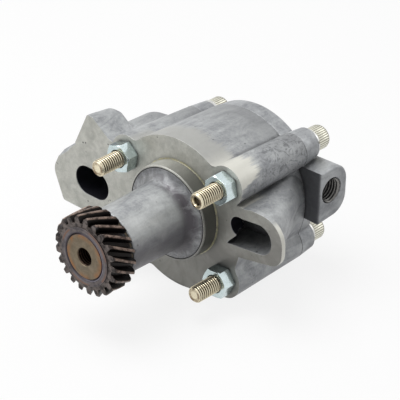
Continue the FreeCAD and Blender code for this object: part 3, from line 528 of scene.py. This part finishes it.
def housingFinish(look):
    material, tree = startMaterial("castHousingAluminium")
    place, normal = objectCoords(tree)
    parts, facing = splitXyz(tree, place), splitXyz(tree, normal)
    cast, faced = grainOn(tree, look["cast"]), grainOn(tree, look["faced"])
    marks = placeGroup(tree, turnedMarks, Rings=look["rings"])
    wear = wearOn(tree, look)
    streak = noise(tree, stretched(tree, place, look["streakStretch"]), **look["streak"])
    zones = housingZones(tree, look, parts, facing, streak)
    colour = blend(tree, zones["machined"], castColourOf(tree, look, cast, place, parts, facing, zones),
                   facedColourOf(tree, look, faced, parts, zones))
    # a thin yellowish line round the pilot's root
    rootRing = product(tree, rise(tree, parts["Y"], look["rootY"]), zones["pilot"])
    rootLineMask = product(tree, rootRing, ramp(tree, streak, look["rootBreak"], look["rootReach"]))
    worn = product(tree, wear["Edge"], look["rubbedShare"])
    # painted shade along the crease between the body and the upper right boss
    valley = product(tree, nearLine(tree, parts, look["valley"], *look["valleyWidth"]),
                     rise(tree, zones["jagged"], look["valleyY"]), look["valleyShare"])
    swirls = ramp(tree, noise(tree, place, **look["swirls"]), look["swirlEdges"], look["swirlReach"])
    swirls = product(tree, nearAxis(tree, parts, look["boss"]), rise(tree, zones["jagged"], look["swirlY"]),
                     swirls)
    # painted highlight on the right side of the outlet ear's rim
    rim = product(tree, fall(tree, parts["Y"], look["rimY"]), rise(tree, parts["X"], look["rimX"]),
                  zones["onFlange"], inverse(tree, zones["faced"]), look["rimShare"])
    # painted shade in corners and holes, kept off the pilot's root line
    unshaded = inverse(tree, product(tree, rootRing, look["rootUnshaded"]))
    paintedShade = product(tree, cornerShadeOn(tree, look), unshaded)
    colour = paint(tree, colour, (rootLineMask, look["rootLine"]), (worn, look["rubbed"]), (valley, look["paintedShade"]),
                   (swirls, look["swirl"]), (rim, look["bossColour"]), (paintedShade, look["paintedShade"]))
    colour = openingColours(tree, look, colour, parts, facing)
    rough = blend(tree, zones["machined"], total(tree, cast["Gloss"], look["castRough"]),
                  total(tree, faced["Gloss"], look["facedRough"]), "FLOAT")
    turned = product(tree, marks["Mark"], look["ringDepth"])
    height = blend(tree, zones["machined"], cast["Height"], turned, "FLOAT")
    fold = product(tree, nearLine(tree, parts, look["valley"], *look["foldWidth"]),
                   rise(tree, parts["Y"], look["foldY"]))
    rounded = addNode(tree, "ShaderNodeBevel", samples=look["foldSamples"])
    rounded = fill(tree, rounded, Radius=look["foldRadius"] * mm).outputs["Normal"]
    closeMaterial(tree, look, colour, rough, height, blend(tree, fold, wear["Normal"], rounded, "VECTOR"))
    return material


# Gear: hardened teeth with dark flanks, browned crests, a heat tint round the raised ring, and a painted
# highlight on one side of the lip round the bore

gearLook = {
    "flank": {"low": (0.002, 0.0018, 0.0018), "high": (0.012, 0.009, 0.008), "cloud": 220.0, "grain": 1800.0,
              "pits": 0.2, "stains": 0.2},
    "face": {"low": (0.010, 0.008, 0.008), "high": (0.215, 0.180, 0.165), "cloud": 420.0, "grain": 1500.0,
             "pits": 0.3, "stains": 0.3},
    "rings": 2600.0, "corner": 0.22, "breakup": 0.35, "rough": 0.36, "metallic": 0.8,
    "bumpStrength": 0.4, "bumpDepth": 0.05, "flankHeight": 0.6, "ringHeight": 0.6,
    "forward": (-0.9, -0.6), "crestRadius": (18.75, 19.20), "crest": (0.225, 0.165, 0.135),
    "crestDark": (0.028, 0.019, 0.016), "worn": {"Scale": 420.0, "Detail": 5.0, "Roughness": 0.7},
    "wornEdges": (0.36, 0.62), "scaleEdges": (0.40, 0.54), "scaleReach": (0.75, 0.0), "edgeShare": 0.4,
    "heatPatch": {"Scale": 95.0, "Detail": 3.0}, "heatInner": (11.35, 12.25), "heatFrom": (12.75, 13.55),
    "heatTo": (13.2, 14.6), "outerShare": 0.35, "heatShare": 0.88, "heat": (0.036, 0.030, 0.048),
    "strawEdges": (0.44, 0.58), "strawShare": 0.7, "straw": (0.23, 0.105, 0.045),
    "ringRadius": (14.1, 14.6), "ringEdges": (0.42, 0.58), "ringReach": (0.30, 0.80),
    "ring": (0.155, 0.140, 0.148),
    "lipRadius": (11.45, 11.75), "lipX": (-4.0, 11.0), "lipReach": (0.0, 0.85), "lip": (0.34, 0.33, 0.40),
}


def gearFinish(look):
    material, tree = startMaterial("hardenedGearSteel")
    place, normal = objectCoords(tree)
    parts, facing = splitXyz(tree, place), splitXyz(tree, normal)
    flank, face = grainOn(tree, look["flank"]), grainOn(tree, look["face"])
    marks = placeGroup(tree, turnedMarks, Rings=look["rings"])
    wear = wearOn(tree, look)
    radius = lengthOf(tree, parts["X"], parts["Z"])
    onFace = ramp(tree, facing["Y"], look["forward"], falling)
    crest = product(tree, rise(tree, radius, look["crestRadius"]), inverse(tree, onFace))
    patch = noise(tree, place, **look["heatPatch"])
    worn = noise(tree, place, **look["worn"])
    inner = fall(tree, radius, look["heatInner"])
    outer = window(tree, radius, look["heatFrom"], look["heatTo"])
    heat = highest(tree, inner, product(tree, outer, look["outerShare"]))
    heat = product(tree, heat, onFace, look["heatShare"])
    straw = product(tree, outer, onFace, ramp(tree, patch, look["strawEdges"]), look["strawShare"])
    crestColour = blend(tree, ramp(tree, worn, look["wornEdges"]), look["crestDark"], look["crest"])
    scale = product(tree, onFace, ramp(tree, worn, look["scaleEdges"], look["scaleReach"]))
    ring = product(tree, onFace, fall(tree, radius, look["ringRadius"]),
                   ramp(tree, patch, look["ringEdges"], look["ringReach"]))
    edge = product(tree, wear["Edge"], look["edgeShare"])
    # painted highlight on the +X side of the lip round the bore
    lip = product(tree, onFace, fall(tree, radius, look["lipRadius"]),
                  ramp(tree, parts["X"], look["lipX"], look["lipReach"], mm))
    colour = blend(tree, onFace, flank["Colour"], face["Colour"])
    colour = paint(tree, colour, (scale, look["face"]["low"]), (crest, crestColour), (ring, look["ring"]),
                   (heat, look["heat"]), (straw, look["straw"]), (edge, look["crest"]), (lip, look["lip"]))
    height = total(tree, product(tree, flank["Height"], look["flankHeight"]),
                   product(tree, marks["Mark"], look["ringHeight"]))
    closeMaterial(tree, look, colour, total(tree, face["Gloss"], look["rough"]), height, wear["Normal"])
    return material


# Shaft: ground, with a straw heat tint on its front end, a dark centre hole with marks like a thread where
# the dark is painted shade, and painted shade at its edge next to the gear

shaftLook = {
    "ground": {"low": (0.10, 0.080, 0.050), "high": (0.24, 0.19, 0.13), "cloud": 230.0, "grain": 1600.0,
               "pits": 0.3, "stains": 0.15},
    "rings": 2800.0, "corner": 0.2, "breakup": 0.4, "rough": 0.38, "metallic": 0.8,
    "bumpStrength": 0.4, "bumpDepth": 0.05, "groundHeight": 0.3, "ringHeight": 0.9,
    "filmAndShade": (150.0, 0.9), "tintRadius": (7.5, 10.4), "edgeTint": (0.26, 0.12, 0.045),
    "holeRadius": (4.25, 4.40), "holePitch": 1.25, "holeTurns": (-0.3, 0.9), "holeShare": 0.9,
    "hole": (0.010, 0.006, 0.005), "holeRidge": (0.16, 0.10, 0.075),
    "rimRadius": (10.50, 10.65), "rimShare": 0.8, "rim": (0.016, 0.014, 0.032),
}


def shaftFinish(look):
    material, tree = startMaterial("shaftSteel")
    parts = splitXyz(tree, objectCoords(tree)[0])
    ground = grainOn(tree, look["ground"])
    marks = placeGroup(tree, turnedMarks, Rings=look["rings"])
    wear = wearOn(tree, look)
    radius = lengthOf(tree, parts["X"], parts["Z"])
    tint = product(tree, rise(tree, radius, look["tintRadius"]), patchesOn(tree, *look["filmAndShade"]))
    # painted shade in the centre hole, broken by lighter rings like a thread
    inHole = product(tree, fall(tree, radius, look["holeRadius"]), look["holeShare"])
    # painted shade in the gap between the shaft's edge and the gear
    atRim = product(tree, rise(tree, radius, look["rimRadius"]), look["rimShare"])
    turns = compute(tree, "SINE", product(tree, parts["Y"], 2 * math.pi / (look["holePitch"] * mm)))
    holeColour = blend(tree, ramp(tree, turns, look["holeTurns"]), look["hole"], look["holeRidge"])
    colour = paint(tree, ground["Colour"], (tint, look["edgeTint"]), (inHole, holeColour),
                   (atRim, look["rim"]))
    height = total(tree, product(tree, ground["Height"], look["groundHeight"]),
                   product(tree, marks["Mark"], look["ringHeight"]))
    closeMaterial(tree, look, colour, total(tree, ground["Gloss"], look["rough"]), height, wear["Normal"])
    return material


# Screws: straw nickel, with brown left in the thread roots, the serrations and the tip's dimple, and painted
# shade in corners

screwLook = {
    "stud": {"low": (0.64, 0.55, 0.37), "high": (0.98, 0.92, 0.72), "cloud": 260.0, "grain": 1700.0,
             "pits": 0.2, "stains": 0.15},
    "head": {"low": (0.60, 0.59, 0.50), "high": (0.78, 0.77, 0.67), "cloud": 300.0, "grain": 1700.0,
             "pits": 0.2, "stains": 0.15},
    "corner": 0.10, "breakup": 0.4, "rough": 0.27, "metallic": 0.93, "bumpStrength": 0.3, "bumpDepth": 0.04,
    "skinHeight": 0.5, "headFrom": (50.0, 52.0), "sideways": (0.75, 0.9), "filmAndShade": (260.0, 0.7),
    "rootRadius": (3.54, 3.95), "rootY": (-19.1, -18.4), "rootShare": 0.86, "filmShare": 0.16,
    "root": (0.034, 0.020, 0.009), "shadeReach": 1.8, "shadeDensity": 0.62,
    "tipY": (-19.45, -19.25), "tipFilm": (0.0, 0.6), "tipReach": (0.40, 0.95), "tip": (0.22, 0.155, 0.095),
    "grooveRadius": (5.56, 5.74), "grooveShare": 0.75, "groove": (0.13, 0.115, 0.08),
    "rubbedShare": 0.5, "rubbed": (0.84, 0.81, 0.72),
}


def screwFinish(look):
    material, tree = startMaterial("screwNickel")
    parts, facing = [splitXyz(tree, vector) for vector in objectCoords(tree)]
    stud, head = grainOn(tree, look["stud"]), grainOn(tree, look["head"])
    filmAndShade = patchesOn(tree, *look["filmAndShade"])
    wear = wearOn(tree, look)
    radius = lengthOf(tree, parts["X"], parts["Z"])
    root = product(tree, fall(tree, radius, look["rootRadius"]), rise(tree, parts["Y"], look["rootY"]))
    stained = product(tree, filmAndShade, look["filmShare"])
    brown = total(tree, product(tree, root, look["rootShare"]), stained, clamp=True)
    atTip = product(tree, fall(tree, parts["Y"], look["tipY"]),
                    ramp(tree, filmAndShade, look["tipFilm"], look["tipReach"]))
    sideways = ramp(tree, compute(tree, "ABSOLUTE", facing["Y"]), look["sideways"], falling)
    groove = product(tree, sideways, fall(tree, radius, look["grooveRadius"]), look["grooveShare"])
    studColour = paint(tree, stud["Colour"], (brown, look["root"]), (atTip, look["tip"]))
    headColour = blend(tree, groove, head["Colour"], look["groove"])
    colour = blend(tree, rise(tree, parts["Y"], look["headFrom"]), studColour, headColour)
    # rubbed edges, then painted shade in corners in the root colour
    colour = paint(tree, colour, (product(tree, wear["Edge"], look["rubbedShare"]), look["rubbed"]),
                   (cornerShadeOn(tree, look), look["root"]))
    height = product(tree, stud["Height"], look["skinHeight"])
    closeMaterial(tree, look, colour, total(tree, stud["Gloss"], look["rough"]), height, wear["Normal"])
    return material


# Plainer metals: each one changes what it needs of the usual look

usualLook = {
    "cloud": 70.0, "grain": 900.0, "pits": 0.0, "stains": 0.0, "corner": 0.15, "breakup": 0.5, "bump": 0.3,
    "metallic": 0.9, "bumpStrength": 0.35, "bumpDepth": 0.05, "rubbedShare": 0.5, "sweepShare": 0.35,
    "tintScale": 160.0, "shadedSides": (), "shadeReach": 2.5, "shadeDensity": 0.6,
    "shadeColour": (0.02, 0.02, 0.022),
}
finishes = {
    "coverAluminium": {
        "low": (0.150, 0.155, 0.167), "high": (0.50, 0.515, 0.525), "rough": 0.44, "metallic": 0.40,
        "rubbed": (0.62, 0.63, 0.64), "pits": 0.7, "stains": 0.30, "bump": 1.0, "corner": 0.7,
        # painted shade on forward faces such as the port block's front, and a little underneath
        "grain": 950.0, "bumpStrength": 0.6, "bumpDepth": 0.08, "sideShadeColour": (0.055, 0.056, 0.062),
        "shadedSides": (((0.0, -1.0, 0.0), 0.35, 0.95, 0.85), ((0.50, 0.0, -0.87), -0.25, 0.95, 0.22))},
    "gasketSheet": {
        "low": (0.15, 0.155, 0.16), "high": (0.30, 0.31, 0.315), "rough": 0.6, "metallic": 0.0,
        "rubbed": (0.32, 0.32, 0.32), "grain": 2500.0, "bump": 0.6, "corner": 0.1,
        # painted shade on the gasket's underside
        "sideShadeColour": (0.03, 0.03, 0.033), "shadedSides": (((0.50, 0.0, -0.87), -0.55, 0.35, 0.85),)},
    "washerBronze": {
        "low": (0.035, 0.028, 0.020), "high": (0.080, 0.062, 0.040), "rough": 0.35,
        "rubbed": (0.11, 0.085, 0.055), "rings": 2400.0, "ringDepth": 0.6},
    "bushBronze": {
        "low": (0.36, 0.26, 0.13), "high": (0.50, 0.38, 0.20), "rough": 0.40,
        "rubbed": (0.62, 0.50, 0.30), "rings": 2000.0, "ringDepth": 0.7},
    "sinteredSteel": {
        "low": (0.14, 0.14, 0.14), "high": (0.28, 0.28, 0.275), "rough": 0.50, "metallic": 0.8,
        "rubbed": (0.45, 0.45, 0.44), "grain": 2200.0, "bump": 0.9, "pits": 0.4, "corner": 0.2},
    "pinSteel": {
        "low": (0.34, 0.34, 0.34), "high": (0.52, 0.52, 0.51), "rough": 0.28, "metallic": 0.95,
        "rubbed": (0.65, 0.65, 0.64), "grain": 1800.0, "corner": 0.12},
    "springSteel": {
        "low": (0.16, 0.155, 0.15), "high": (0.32, 0.31, 0.30), "rough": 0.35,
        "rubbed": (0.45, 0.44, 0.42), "grain": 2000.0, "bump": 0.4, "corner": 0.1},
    "plugSteel": {
        "low": (0.40, 0.39, 0.36), "high": (0.58, 0.57, 0.53), "rough": 0.32,
        "rubbed": (0.72, 0.71, 0.68), "tint": (0.42, 0.36, 0.22), "tintCover": 0.4, "corner": 0.25},
    "copperWasher": {
        "low": (0.42, 0.18, 0.09), "high": (0.62, 0.30, 0.17), "rough": 0.38, "metallic": 0.95,
        "rubbed": (0.78, 0.42, 0.27), "grain": 1500.0},
    "washerSteel": {
        "low": (0.55, 0.55, 0.53), "high": (0.76, 0.76, 0.74), "rough": 0.28,
        "rubbed": (0.86, 0.86, 0.84), "grain": 1600.0},
    "nutZinc": {
        "low": (0.55, 0.65, 0.66), "high": (0.74, 0.85, 0.86), "rough": 0.15,
        "rubbed": (0.86, 0.92, 0.93), "cloud": 140.0, "grain": 1300.0, "bump": 0.15, "corner": 0.22,
        "tint": (0.36, 0.42, 0.42), "tintCover": 0.25, "tintScale": 110.0,
        # painted dark reflection on the facets that face up and to the left
        "sideShadeColour": (0.10, 0.125, 0.125), "shadedSides": (((-0.75, 0.0, 0.66), 0.45, 0.98, 0.60),)},
    "threadAluminium": {
        # painted shade: dark colours and strong corner shade for a thread that sits deep in the port
        "low": (0.085, 0.082, 0.078), "high": (0.25, 0.245, 0.235), "rough": 0.26,
        "rubbed": (0.70, 0.68, 0.64), "corner": 0.1, "shadeDensity": 1.0, "shadeReach": 5.0},
}


def metalFinish(name, look):
    look = {**usualLook, **look}
    material, tree = startMaterial(name)
    grain = grainOn(tree, look)
    wear = wearOn(tree, look)
    colour = grain["Colour"]
    height = product(tree, grain["Height"], look["bump"])
    if "rings" in look:
        marks = placeGroup(tree, turnedMarks, Rings=look["rings"])
        height = total(tree, height, product(tree, marks["Mark"], look["ringDepth"]))
        colour = blend(tree, product(tree, marks["Sweep"], look["sweepShare"]), colour, look["high"])
    if "tint" in look:
        colour = blend(tree, patchesOn(tree, look["tintScale"], look["tintCover"]), colour, look["tint"])
    colour = blend(tree, product(tree, wear["Edge"], look["rubbedShare"]), colour, look["rubbed"])
    # painted shade on the sides that face each listed direction
    for direction, start, end, share in look["shadedSides"]:
        side = product(tree, sideOn(tree, direction, start, end), share)
        colour = blend(tree, side, colour, look["sideShadeColour"])
    # painted shade in corners, holes and under hardware
    colour = blend(tree, cornerShadeOn(tree, look), colour, look["shadeColour"])
    closeMaterial(tree, look, colour, total(tree, grain["Gloss"], look["rough"]), height, wear["Normal"])
    return material


materials = {name: metalFinish(name, look) for name, look in finishes.items()}
materials["castHousingAluminium"] = housingFinish(housingLook)
materials["hardenedGearSteel"] = gearFinish(gearLook)
materials["shaftSteel"] = shaftFinish(shaftLook)
materials["screwNickel"] = screwFinish(screwLook)

finishOfNode = {
    "pump_housing": "castHousingAluminium", "rear_cover": "coverAluminium", "cover_gasket": "gasketSheet",
    "drive_shaft": "shaftSteel", "rotor_drive_pin": "pinSteel", "front_bush": "bushBronze",
    "mid_bush": "bushBronze", "rear_bush": "bushBronze", "thrust_washer": "washerBronze",
    "inner_rotor": "sinteredSteel", "outer_rotor": "sinteredSteel", "drive_gear": "hardenedGearSteel",
    "dowel_pins": "pinSteel", "cap_screws": "screwNickel", "lock_washers": "washerSteel",
    "hex_nuts": "nutZinc", "relief_plunger": "pinSteel", "relief_spring": "springSteel",
    "relief_plug": "plugSteel", "relief_plug_washer": "copperWasher",
}
for nodeName, piece in nodes.items():
    material = materials[finishOfNode[nodeName]]
    if not piece.material_slots:
        piece.data.materials.append(material)
    for slot in piece.material_slots:
        slot.material = material
print("finishes on", len(finishOfNode), "nodes")


# Helpers for meshes made of rings, sizes in mm

threadFlats = {"root": 0.12, "flank": 0.74}  # shares of half a pitch


def circle(count):
    return [2 * math.pi * k / count for k in range(count)]


def ringOf(bm, y, radii):
    angles = circle(len(radii))
    return [bm.verts.new((radius * math.cos(angle) * mm, y * mm, radius * math.sin(angle) * mm))
            for radius, angle in zip(radii, angles)]


def skin(bm, first, second):
    count = len(first)
    for k in range(count):
        bm.faces.new((first[k], first[(k + 1) % count], second[(k + 1) % count], second[k]))


def threadRadius(along, angle, pitch, major, minor):
    phase = (along / pitch - angle / (2 * math.pi)) % 1.0
    height = (abs(2.0 * phase - 1.0) - threadFlats["root"]) / threadFlats["flank"]
    return minor + (major - minor) * max(0.0, min(1.0, height))


def hexRadii(count, acrossFlats, turn):
    sector = math.pi / 3
    return [acrossFlats / 2 / math.cos((angle + turn) % sector - sector / 2) for angle in circle(count)]


def finishMesh(bm, name, material, sharpAngle=38.0):
    bmesh.ops.recalc_face_normals(bm, faces=bm.faces)
    mesh = bpy.data.meshes.new(name)
    bm.to_mesh(mesh)
    bm.free()
    mesh.materials.append(material)
    for face in mesh.polygons:
        face.use_smooth = True
    mesh.set_sharp_from_angle(angle=math.radians(sharpAngle))
    piece = bpy.data.objects.new(name, mesh)
    bpy.context.scene.collection.objects.link(piece)
    return piece


# Screws with real threads, serrated heads and hex sockets

screws = {
    "centres": {"UpperRight": (27.7, 22.2), "UpperLeft": (-33.2, 14.1), "LowerLeft": (-24.3, -30.6),
                "LowerRight": (27.7, -26.2)},
    "firstTurn": 0.4, "turnStep": 0.7, "around": 48, "rowsPerPitch": 10,
    "tipY": -19.5, "threadEndY": -5.0, "runOut": 0.5, "radius": 3.97, "threadMinor": 3.34, "pitch": 1.25,
    "tipRadius": 3.15, "lipRise": 0.02, "dimpleRadius": 2.35, "dimpleDepth": 0.35,
    "dimpleFloor": 0.62, "dimpleWall": 0.9, "hollowTip": "UpperRight", "hollowDepth": 2.2,
    "headY": 56.7, "headEndY": 64.7, "headRadius": 5.56, "serrations": 32, "serrationDepth": 0.24,
    "headGap": 0.01, "wave": (0.0, 0.25, 1.0, 1.0, 1.0, 0.25),
    # pairs of a gap, from headY for the collar and from headEndY for the crown, and an inset
    "collar": ((0.0, 0.25), (0.25, 0.0), (0.45, 0.0)), "knurlStart": 0.8,
    "crown": ((0.85, 0.0), (0.4, 0.15), (0.0, 0.6)), "knurlEnd": 1.2,
    "socketMouth": 3.75, "mouthDepth": 0.35, "socketFlats": 6.0, "socketDepth": 4.0, "coneDepth": 0.6,
    "coneTip": 0.9,
}


def studRings(bm, turn, dimpleDepth):
    # thread with a chamfered tip, then the plain shank up to the head
    s = screws
    around = s["around"]
    step = s["pitch"] / s["rowsPerPitch"]
    previous = None
    for row in range(int((s["threadEndY"] - s["tipY"]) / s["pitch"] * s["rowsPerPitch"]) + 1):
        y = s["tipY"] + row * step
        limit = s["tipRadius"] + (y - s["tipY"])
        radii = [threadRadius(y, angle + turn, s["pitch"], s["radius"], s["threadMinor"])
                 for angle in circle(around)]
        ring = ringOf(bm, y, [min(limit, radius) for radius in radii])
        if previous is None:
            lip = ringOf(bm, y + s["lipRise"], [s["dimpleRadius"]] * around)
            floorRadius = s["dimpleRadius"] * s["dimpleFloor"]
            floor = ringOf(bm, y + dimpleDepth * s["dimpleWall"], [floorRadius] * around)
            tip = bm.verts.new((0.0, (y + dimpleDepth) * mm, 0.0))
            skin(bm, ring, lip)
            skin(bm, lip, floor)
            for k in range(around):
                bm.faces.new((floor[k], tip, floor[(k + 1) % around]))
        else:
            skin(bm, previous, ring)
        previous = ring
    shank = ringOf(bm, s["threadEndY"] + s["runOut"], [s["radius"]] * around)
    shankEnd = ringOf(bm, s["headY"], [s["radius"]] * around)
    skin(bm, previous, shank)
    skin(bm, shank, shankEnd)


def headRings(bm, turn):
    # from under the head over the serrations and the crown into the socket
    s = screws
    fine = s["serrations"] * len(s["wave"])
    ridge = s["headRadius"] + s["serrationDepth"] - s["headGap"]
    knurled = [ridge - s["serrationDepth"] * (1.0 - s["wave"][k % len(s["wave"])]) for k in range(fine)]
    hexagon = hexRadii(fine, s["socketFlats"], turn)
    top = s["headEndY"]
    levels = [(s["headY"], [s["radius"]] * fine)]
    levels += [(s["headY"] + gap, [s["headRadius"] - inset] * fine) for gap, inset in s["collar"]]
    levels += [(s["headY"] + s["knurlStart"], knurled), (top - s["knurlEnd"], knurled)]
    levels += [(top - gap, [s["headRadius"] - inset] * fine) for gap, inset in s["crown"]]
    levels += [(top, [s["socketMouth"]] * fine), (top - s["mouthDepth"], hexagon),
               (top - s["socketDepth"], hexagon),
               (top - s["socketDepth"] - s["coneDepth"], [s["coneTip"]] * fine)]
    rings = [ringOf(bm, y, radii) for y, radii in levels]
    for first, second in zip(rings, rings[1:]):
        skin(bm, first, second)
    bm.faces.new(rings[-1])


def buildScrew(name, centre, turn, dimpleDepth):
    bm = bmesh.new()
    studRings(bm, turn, dimpleDepth)
    headRings(bm, turn)
    piece = finishMesh(bm, name, materials["screwNickel"])
    piece.location = (centre[0] * mm, 0.0, centre[1] * mm)
    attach(piece, "pump_body")
    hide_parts("cap_screws")


for index, (label, centre) in enumerate(screws["centres"].items()):
    depth = screws["hollowDepth"] if label == screws["hollowTip"] else screws["dimpleDepth"]
    buildScrew("capScrew" + label, centre, screws["turnStep"] * index + screws["firstTurn"], depth)
print("threaded cap screws built")


# Tapped thread in the pressure port

portThread = {"y": 53.3, "z": 4.7, "faceX": 44.6, "length": 13.0, "major": 5.98, "minor": 5.05, "pitch": 1.5,
              "mouth": 0.15, "around": 72, "rowsPerPitch": 10, "sharpAngle": 60.0}


def buildPortThread():
    s = portThread
    bm = bmesh.new()
    previous = None
    for row in range(int(s["length"] / s["pitch"] * s["rowsPerPitch"]) + 1):
        depth = row * s["pitch"] / s["rowsPerPitch"]
        ring = []
        for angle in circle(s["around"]):
            inner = threadRadius(depth, angle, s["pitch"], s["major"], s["minor"])
            radius = max(inner, s["major"] - max(0.0, depth - s["mouth"]))
            ring.append(bm.verts.new(((s["faceX"] - depth) * mm, (s["y"] + radius * math.cos(angle)) * mm,
                                      (s["z"] + radius * math.sin(angle)) * mm)))
        if previous is not None:
            skin(bm, previous, ring)
        previous = ring
    return finishMesh(bm, "portThread", materials["threadAluminium"], s["sharpAngle"])


thread = buildPortThread()
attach(thread, "pump_body")
print("port thread built")


# Skin that closes the thin lower left wall at the bottom of the inlet

inletWall = {"centreX": -59.8, "centreZ": -10.7, "outer": 7.42, "inner": 7.1, "front": 17.6, "rear": 20.0,
             "from": 190, "to": 250, "steps": 16}


def buildInletWall():
    s = inletWall
    bm = bmesh.new()
    section = ((s["outer"], s["front"]), (s["outer"], s["rear"]),
               (s["inner"], s["rear"]), (s["inner"], s["front"]))
    rings = []
    for step in range(s["steps"] + 1):
        angle = math.radians(s["from"] + (s["to"] - s["from"]) * step / s["steps"])
        across, upward = math.cos(angle), math.sin(angle)
        rings.append([bm.verts.new(((s["centreX"] + radius * across) * mm, y * mm,
                                    (s["centreZ"] + radius * upward) * mm)) for radius, y in section])
    for first, second in zip(rings, rings[1:]):
        skin(bm, first, second)
    bm.faces.new(rings[0])
    bm.faces.new(rings[-1])
    return finishMesh(bm, "inletWall", materials["castHousingAluminium"])


wall = buildInletWall()
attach(wall, "pump_body")
print("inlet wall built")


# Camera at the photograph's angle, for a square frame of 400 by 400

cameraSettings = {"azimuth": 42.292, "elevation": 30.607, "roll": 1.242, "distance": 0.9636, "nearest": 0.01,
                  "lens": 191.64, "sensor": 36.0, "sideways": 0.009237, "upward": 0.002977}


def makeCamera():
    c = cameraSettings
    azimuth, elevation, roll = (math.radians(c[key]) for key in ("azimuth", "elevation", "roll"))
    level = math.cos(elevation)
    back = Vector((math.sin(azimuth) * level, -math.cos(azimuth) * level, math.sin(elevation)))
    right = Vector((math.cos(azimuth), math.sin(azimuth), 0.0))
    up = back.cross(right)
    tiltedRight = right * math.cos(roll) + up * math.sin(roll)
    tiltedUp = up * math.cos(roll) - right * math.sin(roll)
    camera = bpy.data.cameras.new("photoCamera")
    camera.lens = c["lens"]
    camera.sensor_width = c["sensor"]
    camera.clip_start = c["nearest"]
    holder = bpy.data.objects.new("photoCamera", camera)
    bpy.context.scene.collection.objects.link(holder)
    place = back * c["distance"] + tiltedRight * c["sideways"] + tiltedUp * c["upward"]
    turn = Matrix((tiltedRight, tiltedUp, back)).transposed().to_4x4()
    holder.matrix_world = Matrix.Translation(place) @ turn
    bpy.context.scene.camera = holder


makeCamera()
print("camera placed")


# Lamps, world and floor

lighting = {
    "worldStrength": 0.28, "worldColour": (1.0, 1.0, 1.0), "white": (1.0, 1.0, 1.0),
    "lamps": [
        {"name": "overheadSoftbox", "place": (-0.20, -0.15, 0.80), "size": 0.6, "power": 6.2},
        {"name": "leftSoftbox", "place": (-0.60, -0.60, 0.40), "size": 0.4, "power": 1.6},
        {"name": "rearCard", "place": (0.35, 0.80, 0.45), "size": 0.5, "power": 1.2},
    ],
    "floorColour": (0.85, 0.85, 0.85), "floorRough": 0.9, "floorShadow": 0.16, "floorSize": 6.0,
    "floorGap": 0.0001,
}


def makeLamp(settings):
    lamp = bpy.data.lights.new(settings["name"], "AREA")
    lamp.shape = "SQUARE"
    lamp.size = settings["size"]
    lamp.energy = settings["power"]
    holder = bpy.data.objects.new(settings["name"], lamp)
    bpy.context.scene.collection.objects.link(holder)
    holder.location = Vector(settings["place"])
    holder.rotation_euler = (-Vector(settings["place"])).to_track_quat("-Z", "Y").to_euler()


def seenDirectly(tree):
    # camera, glossy and transmission rays meet the plain white background
    ray = addNode(tree, "ShaderNodeLightPath").outputs
    return highest(tree, ray["Is Camera Ray"], ray["Is Glossy Ray"], ray["Is Transmission Ray"])


def endTree(tree, kind, share, first, second):
    mixed = addNode(tree, "ShaderNodeMixShader")
    for socket, value in zip(mixed.inputs, (share, first, second)):
        join(tree, value, socket)
    fill(tree, addNode(tree, kind), Surface=mixed.outputs[0])


def makeWorld():
    world = bpy.data.worlds.new("studioWorld")
    bpy.context.scene.world = world
    tree = clearTree(world)
    soft = fill(tree, addNode(tree, "ShaderNodeBackground"), Color=lighting["worldColour"],
                Strength=lighting["worldStrength"])
    white = fill(tree, addNode(tree, "ShaderNodeBackground"), Color=lighting["white"], Strength=1.0)
    endTree(tree, "ShaderNodeOutputWorld", seenDirectly(tree), soft.outputs[0], white.outputs[0])


def makeFloor(height):
    half = lighting["floorSize"] / 2
    bm = bmesh.new()
    corners = ((-half, -half), (half, -half), (half, half), (-half, half))
    bm.faces.new([bm.verts.new((x, y, height)) for x, y in corners])
    mesh = bpy.data.meshes.new("studioFloor")
    bm.to_mesh(mesh)
    bm.free()
    material, tree = startMaterial("paleFloor")
    shader = addNode(tree, "ShaderNodeBsdfPrincipled")
    fill(tree, shader, Roughness=lighting["floorRough"], Base_Color=lighting["floorColour"])
    glow = fill(tree, addNode(tree, "ShaderNodeEmission"), Color=lighting["white"], Strength=1.0)
    seen = product(tree, seenDirectly(tree), 1.0 - lighting["floorShadow"])
    endTree(tree, "ShaderNodeOutputMaterial", seen, shader.outputs[0], glow.outputs[0])
    mesh.materials.append(material)
    floor = bpy.data.objects.new("studioFloor", mesh)
    bpy.context.scene.collection.objects.link(floor)


makeWorld()
for settings in lighting["lamps"]:
    makeLamp(settings)
makeFloor(cadBox[0][2] - lighting["floorGap"])
bpy.context.scene.view_settings.view_transform = "Standard"
print("studio ready")
